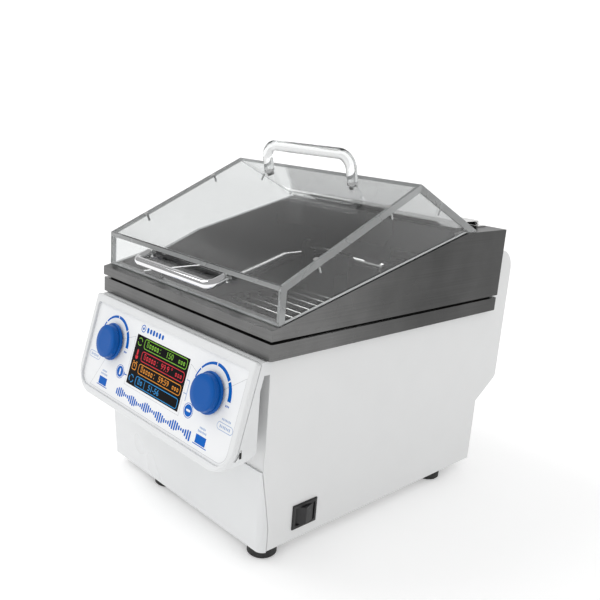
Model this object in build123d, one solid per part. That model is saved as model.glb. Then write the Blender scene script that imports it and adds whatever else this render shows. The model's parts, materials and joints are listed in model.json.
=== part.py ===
"""Bench-top shaking water bath: sheet-metal body, stainless tank with a wedge cover, hinged clear
gable lid, sloped control box with two push-and-turn knobs, and a tray that shakes from side to side.

Millimetres, +Z up. The parts are built in the machine's own coordinates: X = 0 on the centre line,
Y = 0 at the front of the stainless rim and +Y to the back, Z = 0 at the underside of the body.
export_all() then moves the whole machine so that its origin is the middle of its footprint, on the bench.
"""
from build123d import *
import math
import os

# ---------------------------------------------------------------- overall body
RIM_W, RIM_D = 290.0, 361.0          # stainless rim band, outside
BODY_HALF = 138.0                    # outside of the painted side panels
BODY_H = 200.5                       # top of the painted body, underside of the rim band
RIM_H = 15.5                         # height of the rim band
RIM_TOP = BODY_H + RIM_H
BODY_BACK = 358.0                    # outside of the rear panel
SHEET = 1.5                          # painted sheet
STEEL = 1.2                          # stainless sheet
SHELL_TOP = 88.0                     # top of the moulded front shell, below the control box
PANEL_EDGE_TOP, PANEL_EDGE_LOW = 7.5, 18.5   # front edge of a side panel, above and below
FOOT_R, FOOT_H = 15.0, 11.0
FOOT_POINTS = ((118.0, 30.0), (-52.0, 33.0), (118.0, 300.0), (-118.0, 300.0))
FOOT_SEAT_Z = 1.0                    # where the feet meet the panels
PAN_Z = 2.5                          # underside of the base pan, on the side panels' lower flanges
FRONT_PLATE_Y = 8.6                  # flat plate behind the control box
SPACER_X, SPACER_Z = 70.0, (128.0, 160.0)   # bolts that hold the control box
CABLE_R, CABLE_Z = 11.0, 144.0       # duct for the wiring of the control box

# ---------------------------------------------------------------- tank
TANK_HALF_X, TANK_FRONT, TANK_BACK = 122.0, 24.0, 338.0   # inside walls
TANK_FLOOR = 72.0
TANK_R = 18.0                        # inside corner radius
TANK_FLANGE_X, TANK_FLANGE_Y = 140.0, (5.0, 355.0)        # rolled flange that lies on the rim
HEATER_X, HEATER_Z, HEATER_R = 40.0, 84.0, 3.9
PROBE_X, PROBE_Z = 78.0, 100.0

# ---------------------------------------------------------------- services on the rear panel
INLET_X, INLET_Z = 86.0, 46.0        # mains inlet
DRAIN_X, DRAIN_Z = -100.0, 40.0      # drain spigot
SPIGOT_R, SPIGOT_BORE, SPIGOT_OUT = 5.0, 3.4, 20.0

# ---------------------------------------------------------------- wedge cover
COVER_Z0 = 218.9                     # lower edge, above the gasket gap
COVER_FRONT_Z = 228.6                # height at the front edge
COVER_BACK_Z = 298.3                 # height of the flat rear top
COVER_BEND_Y = 282.0                 # where the slope meets the flat top
COVER_OPEN_X, COVER_OPEN_Y = 137.0, (20.0, 282.0)         # opening
LIP_SIDE, LIP_BACK = 17.0, 36.0      # depth of the return lip at the sides and the back
SLOPE = math.atan2(COVER_BACK_Z - COVER_FRONT_Z, COVER_BEND_Y)

# ---------------------------------------------------------------- lid
LID_HALF_X = 143.8
PLATE = 7.0                          # clear sheet thickness
LID_FRONT_Y = 8.0                    # outside face of the front plate
LID_EAVE_Z = 267.3                   # outside edge between front plate and front slope
RIDGE_Y, RIDGE_Z = 189.3, 352.5
LID_BACK_Y, LID_BACK_Z = 298.0, 301.0   # lower end of the rear slope, outside
LID_GAP = 0.6                        # clear height between lid plates and cover
HINGE_Y, HINGE_Z = 335.0, 303.6      # pin centre
HINGE_R, PIN_R = 3.2, 1.5
HINGE_HALF = 121.0
KNUCKLES = 11

# ---------------------------------------------------------------- handles
TOP_HANDLE_PITCH, TOP_HANDLE_H, TOP_HANDLE_R, TOP_HANDLE_BEND = 133.4, 31.0, 6.0, 16.0
TOP_HANDLE_Y, TOP_HANDLE_LEAN = 172.0, 14.0
FRONT_HANDLE_PITCH, FRONT_HANDLE_REACH, FRONT_HANDLE_DROP = 128.0, 16.0, 5.5
FRONT_HANDLE_R, FRONT_HANDLE_BEND, FRONT_HANDLE_Z = 4.6, 9.0, 257.5

# ---------------------------------------------------------------- control box
PANEL_TILT = 15.0                    # the fascia leans forward going down
FASCIA_Y, FASCIA_TOP_Z = -7.3, BODY_H   # top edge of the printed fascia plane
BEZEL_HALF, BEZEL_BOTTOM, BEZEL_R = 139.6, 110.3, 30.0
BEZEL_PROUD, BEZEL_BACK = 2.6, -4.0
OVERLAY_HALF, OVERLAY_TOP, OVERLAY_BOTTOM, OVERLAY_R = 132.6, 9.2, 103.0, 15.0
DISPLAY_HALF, DISPLAY_TOP, DISPLAY_BOTTOM = 47.2, 24.7, 77.8
KNOB_X, KNOB_S = 87.8, 45.0
KNOB_CAP_R, KNOB_SKIRT_R, KNOB_TOP, KNOB_LIFT = 16.8, 20.2, 11.6, 1.6
SHAFT_R, SHAFT_PLAY = 3.0, 0.05      # encoder shaft and its running clearance
SHAFT_IN, SHAFT_OUT = -7.0, 8.6      # ends of the shaft, measured out of the fascia
BOX_BACK_Y = -4.4                    # back wall of the control box
BOX_WRAP_Y = 7.2                     # where its top meets the front of the body

# ---------------------------------------------------------------- rocker switch, side panel
SWITCH_Y, SWITCH_Z, SWITCH_L, SWITCH_W = 65.3, 27.6, 32.5, 26.0
SWITCH_PROUD = 2.0
ROCKER_X = BODY_HALF - 5.0           # its pivot, which is upright
ROCKER_TILT = 12.0                   # each way from the middle; on at rest
ROCKER_HALF_L, ROCKER_HALF_W, ROCKER_RIDGE = 12.2, 9.2, 10.5

# ---------------------------------------------------------------- rear drive housing
HOUSING_HALF, HOUSING_BACK = 134.0, 403.0
HOUSING_TOP, HOUSING_LOW, HOUSING_FOOT = 270.0, 104.0, 76.0
HOUSING_WALL = 2.0
CRANK_Y, CRANK_Z, CRANK_PIN_R = 381.0, 228.0, 10.0
BRACKET_Z = 200.0                    # top of the motor bracket's shelf
TRAY_STROKE = 10.0

# ---------------------------------------------------------------- tray and guides
ARM_Z, ARM_HALF = 242.0, 14.0        # top of the drive arm, and half its width
GUIDE_Y, GUIDE_Z, GUIDE_R = 300.0, 232.0, 4.0
GUIDE_PLAY = 0.4
SLEEVE_R = 7.0                       # drive sleeve on the rear shaft
FRONT_GUIDE_Y, FRONT_GUIDE_Z = 44.0, 150.0
TRAY_HALF_X, TRAY_Y, TRAY_Z = 104.0, (60.0, 282.0), 170.0
ROD_R, ROD_PITCH, ROD_Z = 1.3, 21.3, 182.0

parts = {}


def box(x0, x1, y0, y1, z0, z1):
    """Axis-aligned block between two corners."""
    return Pos((x0 + x1) / 2, (y0 + y1) / 2, (z0 + z1) / 2) * Box(abs(x1 - x0), abs(y1 - y0), abs(z1 - z0))


def prism_x(points, half):
    """Closed (y, z) outline extruded evenly to both sides of the centre line."""
    face = make_face(Plane.YZ * Polyline(*points, close=True))
    return extrude(face, amount=half, both=True)


def rod_x(x0, x1, y, z, radius):
    return Pos((x0 + x1) / 2, y, z) * Rot(0, 90, 0) * Cylinder(radius, abs(x1 - x0))


def rod_y(x, y0, y1, z, radius):
    return Pos(x, (y0 + y1) / 2, z) * Rot(90, 0, 0) * Cylinder(radius, abs(y1 - y0))


def rod_z(x, y, z0, z1, radius):
    return Pos(x, y, (z0 + z1) / 2) * Cylinder(radius, abs(z1 - z0))


def rounded_prism(half_x, y0, y1, z0, z1, radius):
    """Upright block with all four vertical corners rounded."""
    outline = RectangleRounded(2 * half_x, y1 - y0, radius)
    return Pos(0, (y0 + y1) / 2, z0) * extrude(outline, amount=z1 - z0)


fascia = Plane(origin=(0, FASCIA_Y, FASCIA_TOP_Z), x_dir=(1, 0, 0),
               z_dir=(0, -math.cos(math.radians(PANEL_TILT)), math.sin(math.radians(PANEL_TILT))))


def on_fascia(shape, x=0.0, s=0.0, h=0.0):
    """Put a shape on the fascia: s is the distance down from its top edge, h stands out of it."""
    return fascia * Pos(x, -s, h) * shape


def fascia_plate(half, top, bottom, r_low, r_top, h0, h1):
    """Plate lying in the fascia plane, with its own radii below and above."""
    height = bottom - top
    plate = extrude(Rectangle(2 * half, height), amount=h1 - h0)
    upright = plate.edges().filter_by(Axis.Z).sort_by(Axis.Y)
    plate = fillet(upright[:2], r_low)
    upper = plate.edges().filter_by(Axis.Z).sort_by(Axis.Y)[-2:]
    plate = fillet(upper, r_top)
    return on_fascia(plate, 0, (top + bottom) / 2, h0)


# ================================================================= body
def build_body():
    # side panels: one skin each, with a turned-in lower edge
    edge = [(PANEL_EDGE_TOP, BODY_H), (PANEL_EDGE_TOP + 0.6, SHELL_TOP), (PANEL_EDGE_LOW - 4, 50.0),
            (PANEL_EDGE_LOW, 26.0), (PANEL_EDGE_LOW, 1.0), (BODY_BACK, 1.0), (BODY_BACK, BODY_H)]
    blank = extrude(make_face(Plane.YZ * Polyline(*edge, close=True)), amount=14.0)
    blank = fillet(blank.edges().filter_by(Axis.Y).sort_by(Axis.Z)[:2].sort_by(Axis.X)[-1], 4.0)
    core = extrude(make_face(Plane.YZ * Polyline((-5, 1.0 + SHEET), (BODY_BACK + 5, 1.0 + SHEET),
                                                 (BODY_BACK + 5, BODY_H + 5), (-5,
                                                                               BODY_H + 5), close=True)),
                   amount=14.0 - SHEET)
    core = fillet(core.edges().filter_by(Axis.Y).sort_by(Axis.Z)[:2].sort_by(Axis.X)[-1], 2.5)
    right = Pos(BODY_HALF - 14.0, 0, 0) * (blank - core)
    left = mirror(right, about=Plane.YZ)
    cutout = box(BODY_HALF - 3, BODY_HALF + 1, SWITCH_Y - 13.6, SWITCH_Y + 13.6, SWITCH_Z - 11,
                 SWITCH_Z + 11)
    parts["side_panel_right"] = right - cutout
    parts["side_panel_left"] = left

    # moulded front shell below the control box, wrapping both corners
    def front_block(inset, z0, z1):
        low = Plane.XY.offset(z0) * Pos(0, (11.5 + inset + 40) / 2, 0) * \
            RectangleRounded(2 * (BODY_HALF - 0.6 - inset), 40 - 11.5 - inset, 9.0)
        high = Plane.XY.offset(z1) * Pos(0, (6.5 + inset + 40) / 2, 0) * \
            RectangleRounded(2 * (BODY_HALF - 0.6 - inset), 40 - 6.5 - inset, 5.0)
        return loft([low, high])
    shell = front_block(0.0, 1.0, SHELL_TOP)
    shell -= front_block(2.2, 3.2, SHELL_TOP + 2.0) & box(-200, 200, 0, 60, 3.2, SHELL_TOP - 2.2)
    # trimmed along the front edge of the side panels
    trim = prism_x([(PANEL_EDGE_TOP + 0.1, BODY_H), (PANEL_EDGE_TOP + 0.1, SHELL_TOP),
                    (PANEL_EDGE_LOW - 4.5, 50),
                    (PANEL_EDGE_LOW - 0.5, 26), (PANEL_EDGE_LOW - 0.5, -5), (60, -5), (60, BODY_H)], 160)
    rim_of_shell = box(-(BODY_HALF - 2.2), BODY_HALF - 2.2, 0, 34, -1, SHELL_TOP + 1)
    shell = (shell - trim) + (shell & trim & rim_of_shell & box(-200, 200, 0, TANK_FRONT - 2, 0, 100))
    for side in (-1, 1):
        shell -= box(side * (BODY_HALF - 14.5), side * 160, PANEL_EDGE_LOW - 0.2, 60, 0, PAN_Z + 0.1)
    parts["front_shell"] = shell

    # flat plate behind the control box
    half = BODY_HALF - 2.4
    plate = box(-half, half, FRONT_PLATE_Y, FRONT_PLATE_Y + SHEET, SHELL_TOP, BODY_H - 0.2)
    plate -= rod_y(0, 0, 20, CABLE_Z, CABLE_R) + box_bolt_holes()
    parts["front_plate"] = plate

    # base pan
    pan = box(-134, 134, 26, 354, PAN_Z, 16.0)
    pan -= box(-134 + SHEET, 134 - SHEET, 26 + SHEET, 354 - SHEET, PAN_Z + SHEET, 17)
    for x, y in FOOT_POINTS:
        pan -= rod_z(x, y, 0, 10, 2.1)
    for row in range(7):
        pan -= Pos(-60, 120 + 12 * row, 3) * extrude(SlotOverall(60, 4.0), amount=6, both=True)
    parts["base_pan"] = pan

    # rear panel with inlet cut-out, louvres, drain hole and the window for the drive arm
    half = BODY_HALF - 2.6
    rear = box(-half, half, BODY_BACK - SHEET, BODY_BACK, 5.0, BODY_H - 0.2)
    rear -= box(INLET_X - 14, INLET_X + 14, 340, 370, INLET_Z - 10.3, INLET_Z + 10.3)
    rear -= rod_y(DRAIN_X, 340, 370, DRAIN_Z, SPIGOT_R)
    for row in range(6):
        slot = extrude(SlotOverall(46, 3.6), amount=6, both=True)
        rear -= Pos(-30, BODY_BACK - 1, 24 + 8 * row) * Rot(90, 0, 0) * slot
    rear -= box(-24, 24, 340, 370, 96, 190)
    parts["rear_panel"] = rear


# ================================================================= rear services
def build_rear_services():
    flange = extrude(RectangleRounded(50, 24.5, 3.0), amount=2.4)
    inlet = flange + Pos(0, 0, -16) * extrude(RectangleRounded(27.6, 20.2, 3), amount=16)
    inlet -= Pos(0, 0, -13) * extrude(RectangleRounded(24.4, 16.6, 2.4), amount=20)
    for side in (-20, 20):
        inlet -= Pos(side, 0, -1) * Cylinder(1.5, 10)
    for x, z in ((-7.0, -2.0), (7.0, -2.0), (0.0, 2.6)):
        inlet += Pos(x, z, -13.4) * extrude(Rectangle(2.0, 4.2), amount=12.4)
    facing = Plane(origin=(INLET_X, BODY_BACK, INLET_Z), x_dir=(-1, 0, 0), z_dir=(0, 1, 0))
    parts["power_inlet"] = facing * inlet
    screws = []
    for side in (-20, 20):
        parts["rear_panel"] -= rod_y(INLET_X + side, 340, 370, INLET_Z, 1.5)
        screws.append(facing * (Pos(side, 0, 3.3) * Cylinder(2.9, 1.8) + Pos(side, 0,
                                                                             -0.3) * Cylinder(1.5, 6.0)))
    parts["inlet_screws"] = Compound(screws)

    spigot = rod_y(DRAIN_X, BODY_BACK - 22, BODY_BACK + SPIGOT_OUT, DRAIN_Z, SPIGOT_R)
    spigot += rod_y(DRAIN_X, BODY_BACK, BODY_BACK + 4.5, DRAIN_Z, 2 * SPIGOT_R)
    parts["drain_spigot"] = spigot - rod_y(DRAIN_X, BODY_BACK - 30, BODY_BACK + 30, DRAIN_Z, SPIGOT_BORE)
    nut = Pos(DRAIN_X, BODY_BACK - SHEET, DRAIN_Z) * Rot(90, 0, 0) * extrude(RegularPolygon(10.5, 6),
                                                                             amount=5)
    parts["drain_nut"] = nut - rod_y(DRAIN_X, 300, 400, DRAIN_Z, SPIGOT_R)


def drain_pipe():
    """Bent pipe from the tank floor to the spigot, as its outer and inner solids."""
    route = FilletPolyline((DRAIN_X, 300, TANK_FLOOR - STEEL / 2), (DRAIN_X, 300, DRAIN_Z),
                           (DRAIN_X, BODY_BACK - 22, DRAIN_Z), radius=14)
    start = Plane(route @ 0, z_dir=route % 0)
    return [sweep(start * Circle(radius), path=route) for radius in (SPIGOT_R, SPIGOT_BORE)]


# ================================================================= tank
def build_tank():
    outer = rounded_prism(TANK_HALF_X + STEEL, TANK_FRONT - STEEL, TANK_BACK + STEEL,
                          TANK_FLOOR - STEEL, RIM_TOP, TANK_R + STEEL)
    outer = fillet(outer.faces().sort_by(Axis.Z)[0].edges(), 8.0 + STEEL)
    inner = rounded_prism(TANK_HALF_X, TANK_FRONT, TANK_BACK, TANK_FLOOR, RIM_TOP + 10, TANK_R)
    inner = fillet(inner.faces().sort_by(Axis.Z)[0].edges(), 8.0)
    flange = rounded_prism(TANK_FLANGE_X, *TANK_FLANGE_Y, RIM_TOP, RIM_TOP + STEEL, 3.0)
    pipe, pipe_bore = drain_pipe()
    tank = (outer + flange - inner) + pipe - pipe_bore
    tank -= rod_z(DRAIN_X, 300, TANK_FLOOR - 5, TANK_FLOOR + 5, SPIGOT_BORE)
    for x in (-HEATER_X, HEATER_X):
        tank -= rod_y(x, TANK_BACK - 5, TANK_BACK + 5, HEATER_Z, HEATER_R)
        clip = box(x - 6, x + 6, 150, 158, TANK_FLOOR - STEEL / 2, HEATER_Z - 2)
        tank += clip - rod_y(x, 140, 170, HEATER_Z, HEATER_R)
    parts["tank"] = tank + guide_brackets()

    band = rounded_prism(RIM_W / 2, 0, RIM_D, BODY_H, RIM_TOP, 2.5)
    band -= rounded_prism(RIM_W / 2 - STEEL, STEEL, RIM_D - STEEL, BODY_H - 1, RIM_TOP - STEEL, 1.4)
    band -= rounded_prism(TANK_HALF_X + STEEL + 0.2, TANK_FRONT - STEEL - 0.2, TANK_BACK + STEEL + 0.2,
                          BODY_H, RIM_TOP + 5, TANK_R + STEEL)
    parts["rim_band"] = band

    gasket = rounded_prism(RIM_W / 2 - 6, 6, RIM_D - 6, RIM_TOP + STEEL, COVER_Z0 + 0.1, 3.0)
    gasket -= rounded_prism(RIM_W / 2 - 13, 13, RIM_D - 13, RIM_TOP, COVER_Z0 + 3, 3.0)
    parts["cover_gasket"] = gasket

    # U-shaped heater lying just above the floor, its two ends through the rear wall
    x = HEATER_X
    leg = FilletPolyline((-x, TANK_BACK + 14, HEATER_Z), (-x, 70, HEATER_Z), (x, 70, HEATER_Z),
                         (x, TANK_BACK + 14, HEATER_Z), radius=26)
    parts["heater_element"] = sweep(Plane(leg @ 0, z_dir=leg % 0) * Circle(HEATER_R), path=leg)
    glands = []
    for side in (-x, x):
        nut = Pos(side, TANK_BACK, HEATER_Z) * Rot(90, 0, 0) * extrude(RegularPolygon(9.0, 6), amount=4.5)
        seal = rod_y(side, TANK_BACK + STEEL, TANK_BACK + STEEL + 5, HEATER_Z, 7.5)
        hole = rod_y(side, 300, 360, HEATER_Z, HEATER_R)
        glands += [(nut & inner) - hole, seal - hole]
    parts["heater_glands"] = Compound(glands)

    probe = rod_y(PROBE_X, TANK_BACK - 60, TANK_BACK, PROBE_Z, 2.5)
    parts["temperature_probe"] = probe + rod_y(PROBE_X, TANK_BACK - 4, TANK_BACK, PROBE_Z, 6.5)
    reach = TANK_HALF_X - 0.5
    rear = rod_x(-reach, reach, GUIDE_Y, GUIDE_Z, GUIDE_R)
    parts["guide_shafts"] = Compound([rear, rod_x(-reach, reach, FRONT_GUIDE_Y, FRONT_GUIDE_Z, GUIDE_R)])


def guide_brackets():
    """Four brackets welded to the tank walls, bored for the two guide shafts."""
    brackets = []
    for side in (-1, 1):
        inner_x, outer_x = side * (TANK_HALF_X - 7), side * TANK_HALF_X
        for y, z, leg in ((GUIDE_Y, GUIDE_Z, 36), (FRONT_GUIDE_Y, FRONT_GUIDE_Z, 12)):
            block = box(inner_x, outer_x, y - 9, y + 9, z - leg, z + 9)
            block = fillet(block.edges().filter_by(Axis.X).sort_by(Axis.Z)[-2:], 6.0)
            foot = box(inner_x, side * (TANK_HALF_X + STEEL / 2), y - 9, y + 9, z - leg, min(z,
                                                                                             RIM_TOP) - 6)
            brackets.append(block + foot - rod_x(-200, 200, y, z, GUIDE_R))
    return brackets


# ================================================================= wedge cover
def cover_profile(drop=0.0, inset=0.0, z0=COVER_Z0):
    """Side outline of the cover, lowered by drop and pulled in at both ends by inset."""
    start = inset
    z_start = COVER_FRONT_Z + start * math.tan(SLOPE) - drop
    return [(start, z0), (start, z_start), (COVER_BEND_Y, COVER_BACK_Z - drop),
            (RIM_D - inset, COVER_BACK_Z - drop), (RIM_D - inset, z0)]


def cover_block(drop, inset, half, z0, bend_r):
    block = prism_x(cover_profile(drop, inset, z0), half)
    bend = [e for e in block.edges().filter_by(Axis.X)
            if abs(e.center().Y - COVER_BEND_Y) < 0.5 and e.center().Z > z0 + 20]
    return fillet(bend, bend_r)


def opening_prism(grow):
    """Upright prism of the cover's opening: small radii in front, large ones at the back."""
    y0, y1 = COVER_OPEN_Y[0] - grow, COVER_OPEN_Y[1] + grow
    block = box(-COVER_OPEN_X - grow, COVER_OPEN_X + grow, y0, y1, 150, 400)
    upright = block.edges().filter_by(Axis.Z).sort_by(Axis.Y)
    block = fillet(upright[:2], 6.0 + grow)
    return fillet(block.edges().filter_by(Axis.Z).sort_by(Axis.Y)[-2:], 28.0 + grow)


def build_cover():
    half = RIM_W / 2
    skin = cover_block(0.0, 0.0, half, COVER_Z0, 100.0)
    skin -= cover_block(STEEL, STEEL, half - STEEL, COVER_Z0 - 5, 98.8)
    hole = opening_prism(0.0)
    ring = opening_prism(STEEL) - hole
    deep = cover_block(0.0, 0.0, half, COVER_Z0, 100.0)
    side_zone = deep - Pos(0, 0, -LIP_SIDE) * cover_block(0.0, -40.0, half + 5, COVER_Z0 - 60, 100.0)
    rear_zone = deep & box(-half, half, COVER_BEND_Y - 26, COVER_BEND_Y + 10, COVER_BACK_Z - LIP_BACK, 400)
    lip = ring & (side_zone + rear_zone)
    lip -= box(-half, half, -1, 60, COVER_Z0 - 80, COVER_Z0 + 1.5)
    cover = (skin - hole) + lip
    slot_half = ARM_HALF + TRAY_STROKE + 3
    cover -= box(-slot_half, slot_half, RIM_D - 6, RIM_D + 3, ARM_Z - 6, ARM_Z + 8)
    parts["wedge_cover"] = cover

    # rubber pad on the front ledge, just behind the lid's front plate
    on_ledge = Pos(-62, 17.6, cover_top_z(17.6) + 0.02) * Rot(math.degrees(SLOPE), 0, 0)
    parts["ledge_pad"] = on_ledge * extrude(RectangleRounded(30, 4.2, 1.5), amount=2.2)


# ================================================================= lid
def lid_outline(inset):
    """Gable outline of the lid, pulled in by inset square to every plate."""
    top = math.atan2(RIDGE_Z - LID_EAVE_Z, RIDGE_Y - LID_FRONT_Y)
    back = math.atan2(RIDGE_Z - LID_BACK_Z, LID_BACK_Y - RIDGE_Y)
    y_front = LID_FRONT_Y + inset
    z_eave = LID_EAVE_Z + inset * math.tan(top) - inset / math.cos(top)
    # the two slope lines, each lowered by inset, meet at the inner ridge
    c_front = RIDGE_Z - math.tan(top) * RIDGE_Y - inset / math.cos(top)
    c_back = RIDGE_Z + math.tan(back) * RIDGE_Y - inset / math.cos(back)
    y_ridge = (c_back - c_front) / (math.tan(top) + math.tan(back))
    z_ridge = math.tan(top) * y_ridge + c_front
    return y_front, z_eave, y_ridge, z_ridge, c_back, math.tan(back)


def cover_top_z(y):
    if y >= COVER_BEND_Y:
        return COVER_BACK_Z
    return COVER_FRONT_Z + y * math.tan(SLOPE)


def lid_prism(inset, half):
    y_front, z_eave, y_ridge, z_ridge, c_back, t_back = lid_outline(inset)
    y_end = LID_BACK_Y
    points = [(y_front, 200), (y_front, z_eave), (y_ridge, z_ridge), (y_end, c_back - t_back * y_end),
              (y_end, 200)]
    return prism_x(points, half)


def build_lid():
    bend = COVER_BEND_Y
    above = prism_x([(-20, cover_top_z(-20) + LID_GAP),
                     (bend - 2, cover_top_z(bend - 2) + LID_GAP + 0.5),
                     (bend + 6, COVER_BACK_Z + LID_GAP),
                     (320, COVER_BACK_Z + LID_GAP), (320, 400), (-20, 400)], 200)
    outer = lid_prism(0.0, LID_HALF_X) & above
    inner = lid_prism(PLATE, LID_HALF_X + 1)
    y_front, z_eave, y_ridge, z_ridge, _, _ = lid_outline(PLATE)
    shell = outer - inner
    parts["lid_front_plate"] = shell & box(-200, 200, 0, LID_FRONT_Y + PLATE, 150, z_eave)
    slopes = shell - box(-200, 200, 0, LID_FRONT_Y + PLATE, 150, z_eave)
    # the two slope plates meet in a mitre under the ridge
    front_half = prism_x([(-20, 150), (RIDGE_Y, 150), (RIDGE_Y, 400), (-20, 400)], 200)
    parts["lid_front_slope"] = slopes & front_half
    parts["lid_rear_slope"] = slopes - front_half
    gable = lid_prism(PLATE, LID_HALF_X) & above
    for side, name in ((-1, "lid_side_left"), (1, "lid_side_right")):
        keep = box(side * (LID_HALF_X - PLATE), side * LID_HALF_X, -20, 400, 100, 500)
        parts[name] = (gable & keep) - lid_screw_cutters(side)

    screws = []
    for side in (-1, 1):
        for origin, normal, length in lid_screw_places(side):
            screws.append(lid_screw(origin, normal, length))
    parts["lid_screws"] = Compound(screws)
    for name in ("lid_front_slope", "lid_rear_slope"):
        for side in (-1, 1):
            parts[name] -= lid_screw_cutters(side)
    build_handles()
    build_hinge()


def slope_frame(y, rear=False):
    """Point and outward normal on the outside of a lid slope at depth y."""
    if rear:
        t = math.atan2(RIDGE_Z - LID_BACK_Z, LID_BACK_Y - RIDGE_Y)
        return (y, RIDGE_Z - (y - RIDGE_Y) * math.tan(t)), (0, math.sin(t), math.cos(t))
    t = math.atan2(RIDGE_Z - LID_EAVE_Z, RIDGE_Y - LID_FRONT_Y)
    return (y, RIDGE_Z - (RIDGE_Y - y) * math.tan(t)), (0, -math.sin(t), math.cos(t))


def lid_screw_places(side):
    """Head centre, outward normal and length of each screw down one edge of the lid."""
    x = side * (LID_HALF_X - PLATE / 2)
    places = []
    for y, rear, length in ((51.0, False, 14.0), (145.0, False, 14.0), (231.0, True, 14.0), (281.0, True,
                                                                                             9.0)):
        (py, pz), normal = slope_frame(y, rear)
        places.append(((x, py, pz), normal, length))
    return places


def lid_screw(origin, normal, length):
    at = Plane(origin=origin, x_dir=(1, 0, 0), z_dir=normal)
    return at * (Pos(0, 0, -0.9) * Cylinder(2.8, 1.8) + Pos(0, 0, -length / 2) * Cylinder(1.4, length))


def lid_screw_cutters(side):
    return Compound([lid_screw(*place) for place in lid_screw_places(side)])


def bow_handle(pitch, height, radius, bend):
    """U-shaped rod standing on the XY plane, its two feet on the X axis."""
    path = FilletPolyline((-pitch / 2, 0, 0), (-pitch / 2, 0, height), (pitch / 2, 0, height),
                          (pitch / 2, 0, 0), radius=bend)
    return sweep(Plane(path @ 0, z_dir=path % 0) * Circle(radius), path=path)


def build_handles():
    (y, z), normal = slope_frame(TOP_HANDLE_Y)
    lean = math.radians(TOP_HANDLE_LEAN)
    stand = Plane(origin=(0, y, z), x_dir=(1, 0, 0), z_dir=(0, -math.sin(lean), math.cos(lean)))
    bow = stand * Pos(0, 0, -4) * bow_handle(TOP_HANDLE_PITCH, TOP_HANDLE_H + 4, TOP_HANDLE_R,
                                             TOP_HANDLE_BEND)
    slope_plane = Plane(origin=(0, y, z), x_dir=(1, 0, 0), z_dir=normal)
    below = slope_plane * Pos(0, 0, -20) * Box(300, 60, 40)
    parts["top_handle"] = bow - below
    screws = []
    for side in (-1, 1):
        at = slope_plane * Pos(side * TOP_HANDLE_PITCH / 2, 0, 0)
        head = Pos(0, 0, -PLATE - 1.3) * Cylinder(4.6, 2.6)
        screws.append(at * (Pos(0, 0, -PLATE / 2) * Cylinder(2.0, PLATE) + head))
        parts["lid_front_slope"] -= at * Pos(0, 0, -PLATE / 2) * Cylinder(2.0, PLATE + 4)

    reach = math.hypot(FRONT_HANDLE_REACH, FRONT_HANDLE_DROP)
    facing = Plane(origin=(0, LID_FRONT_Y, FRONT_HANDLE_Z), x_dir=(1, 0, 0),
                   z_dir=(0, -FRONT_HANDLE_REACH / reach, -FRONT_HANDLE_DROP / reach))
    bow = facing * Pos(0, 0, -4) * bow_handle(FRONT_HANDLE_PITCH, reach + 4, FRONT_HANDLE_R,
                                              FRONT_HANDLE_BEND)
    parts["front_handle"] = bow - box(-200, 200, LID_FRONT_Y, 60, 200, 300)
    for side in (-1, 1):
        x = side * FRONT_HANDLE_PITCH / 2
        inside = LID_FRONT_Y + PLATE
        screws.append(rod_y(x, LID_FRONT_Y, inside + 1, FRONT_HANDLE_Z, 2.0) +
                      rod_y(x, inside, inside + 2.6, FRONT_HANDLE_Z, 4.6))
        parts["lid_front_plate"] -= rod_y(x, 0, 30, FRONT_HANDLE_Z, 2.0)
    parts["handle_screws"] = Compound(screws)


def build_hinge():
    """Piano hinge: odd knuckles and upper leaf on the lid, even ones and lower leaf on the cover."""
    length = 2 * HINGE_HALF / KNUCKLES
    lid_leaf = box(-HINGE_HALF, HINGE_HALF, 289, HINGE_Y, HINGE_Z + HINGE_R - 1.2, HINGE_Z + HINGE_R)
    (py, pz), normal = slope_frame(288.0, True)
    flap = Plane(origin=(0, py, pz), x_dir=(1, 0, 0), z_dir=normal) * Pos(0, 2, 0.6) * Box(200, 27, 1.2)
    lid_leaf += flap
    lid_leaf -= box(-200, 200, 200, 400, COVER_BACK_Z - 5, COVER_BACK_Z + 0.6)
    cover_leaf = box(-HINGE_HALF, HINGE_HALF, HINGE_Y - 1.0, HINGE_Y + 19, COVER_BACK_Z, COVER_BACK_Z + 1.2)
    cover_leaf += box(-HINGE_HALF, HINGE_HALF, HINGE_Y - 1.0, HINGE_Y + 2.0, COVER_BACK_Z,
                      HINGE_Z - PIN_R - 0.3)
    bore = rod_x(-200, 200, HINGE_Y, HINGE_Z, PIN_R + 0.15)
    for i in range(KNUCKLES):
        x0 = -HINGE_HALF + i * length
        barrel = rod_x(x0 + 0.25, x0 + length - 0.25, HINGE_Y, HINGE_Z, HINGE_R)
        room = rod_x(x0 - 0.05, x0 + length + 0.05, HINGE_Y, HINGE_Z, HINGE_R + 0.35)
        if i % 2 == 0:
            cover_leaf -= room
            lid_leaf += barrel
        else:
            lid_leaf -= room
            cover_leaf += barrel
    # domed rivets along both leaves
    on_slope = Plane(origin=(0, py, pz), x_dir=(1, 0, 0), z_dir=normal)
    for i in range(6):
        cover_leaf += Pos(-100 + 40 * i, HINGE_Y + 12.5, COVER_BACK_Z + 1.8) * Cylinder(2.4, 1.2)
        lid_leaf += on_slope * Pos(-85 + 34 * i, -6.0, 1.8) * Cylinder(2.4, 1.2)
    parts["hinge_leaf_lid"] = lid_leaf - bore
    parts["hinge_leaf_cover"] = cover_leaf - bore
    parts["hinge_pin"] = rod_x(-HINGE_HALF - 0.6, HINGE_HALF + 0.6, HINGE_Y, HINGE_Z, PIN_R)


# ================================================================= control box
def fascia_point(s, h):
    """(y, z) of the point s down the fascia and h out of it."""
    t = math.radians(PANEL_TILT)
    return FASCIA_Y - s * math.sin(t) - h * math.cos(t), FASCIA_TOP_Z - s * math.cos(t) + h * math.sin(t)


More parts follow.
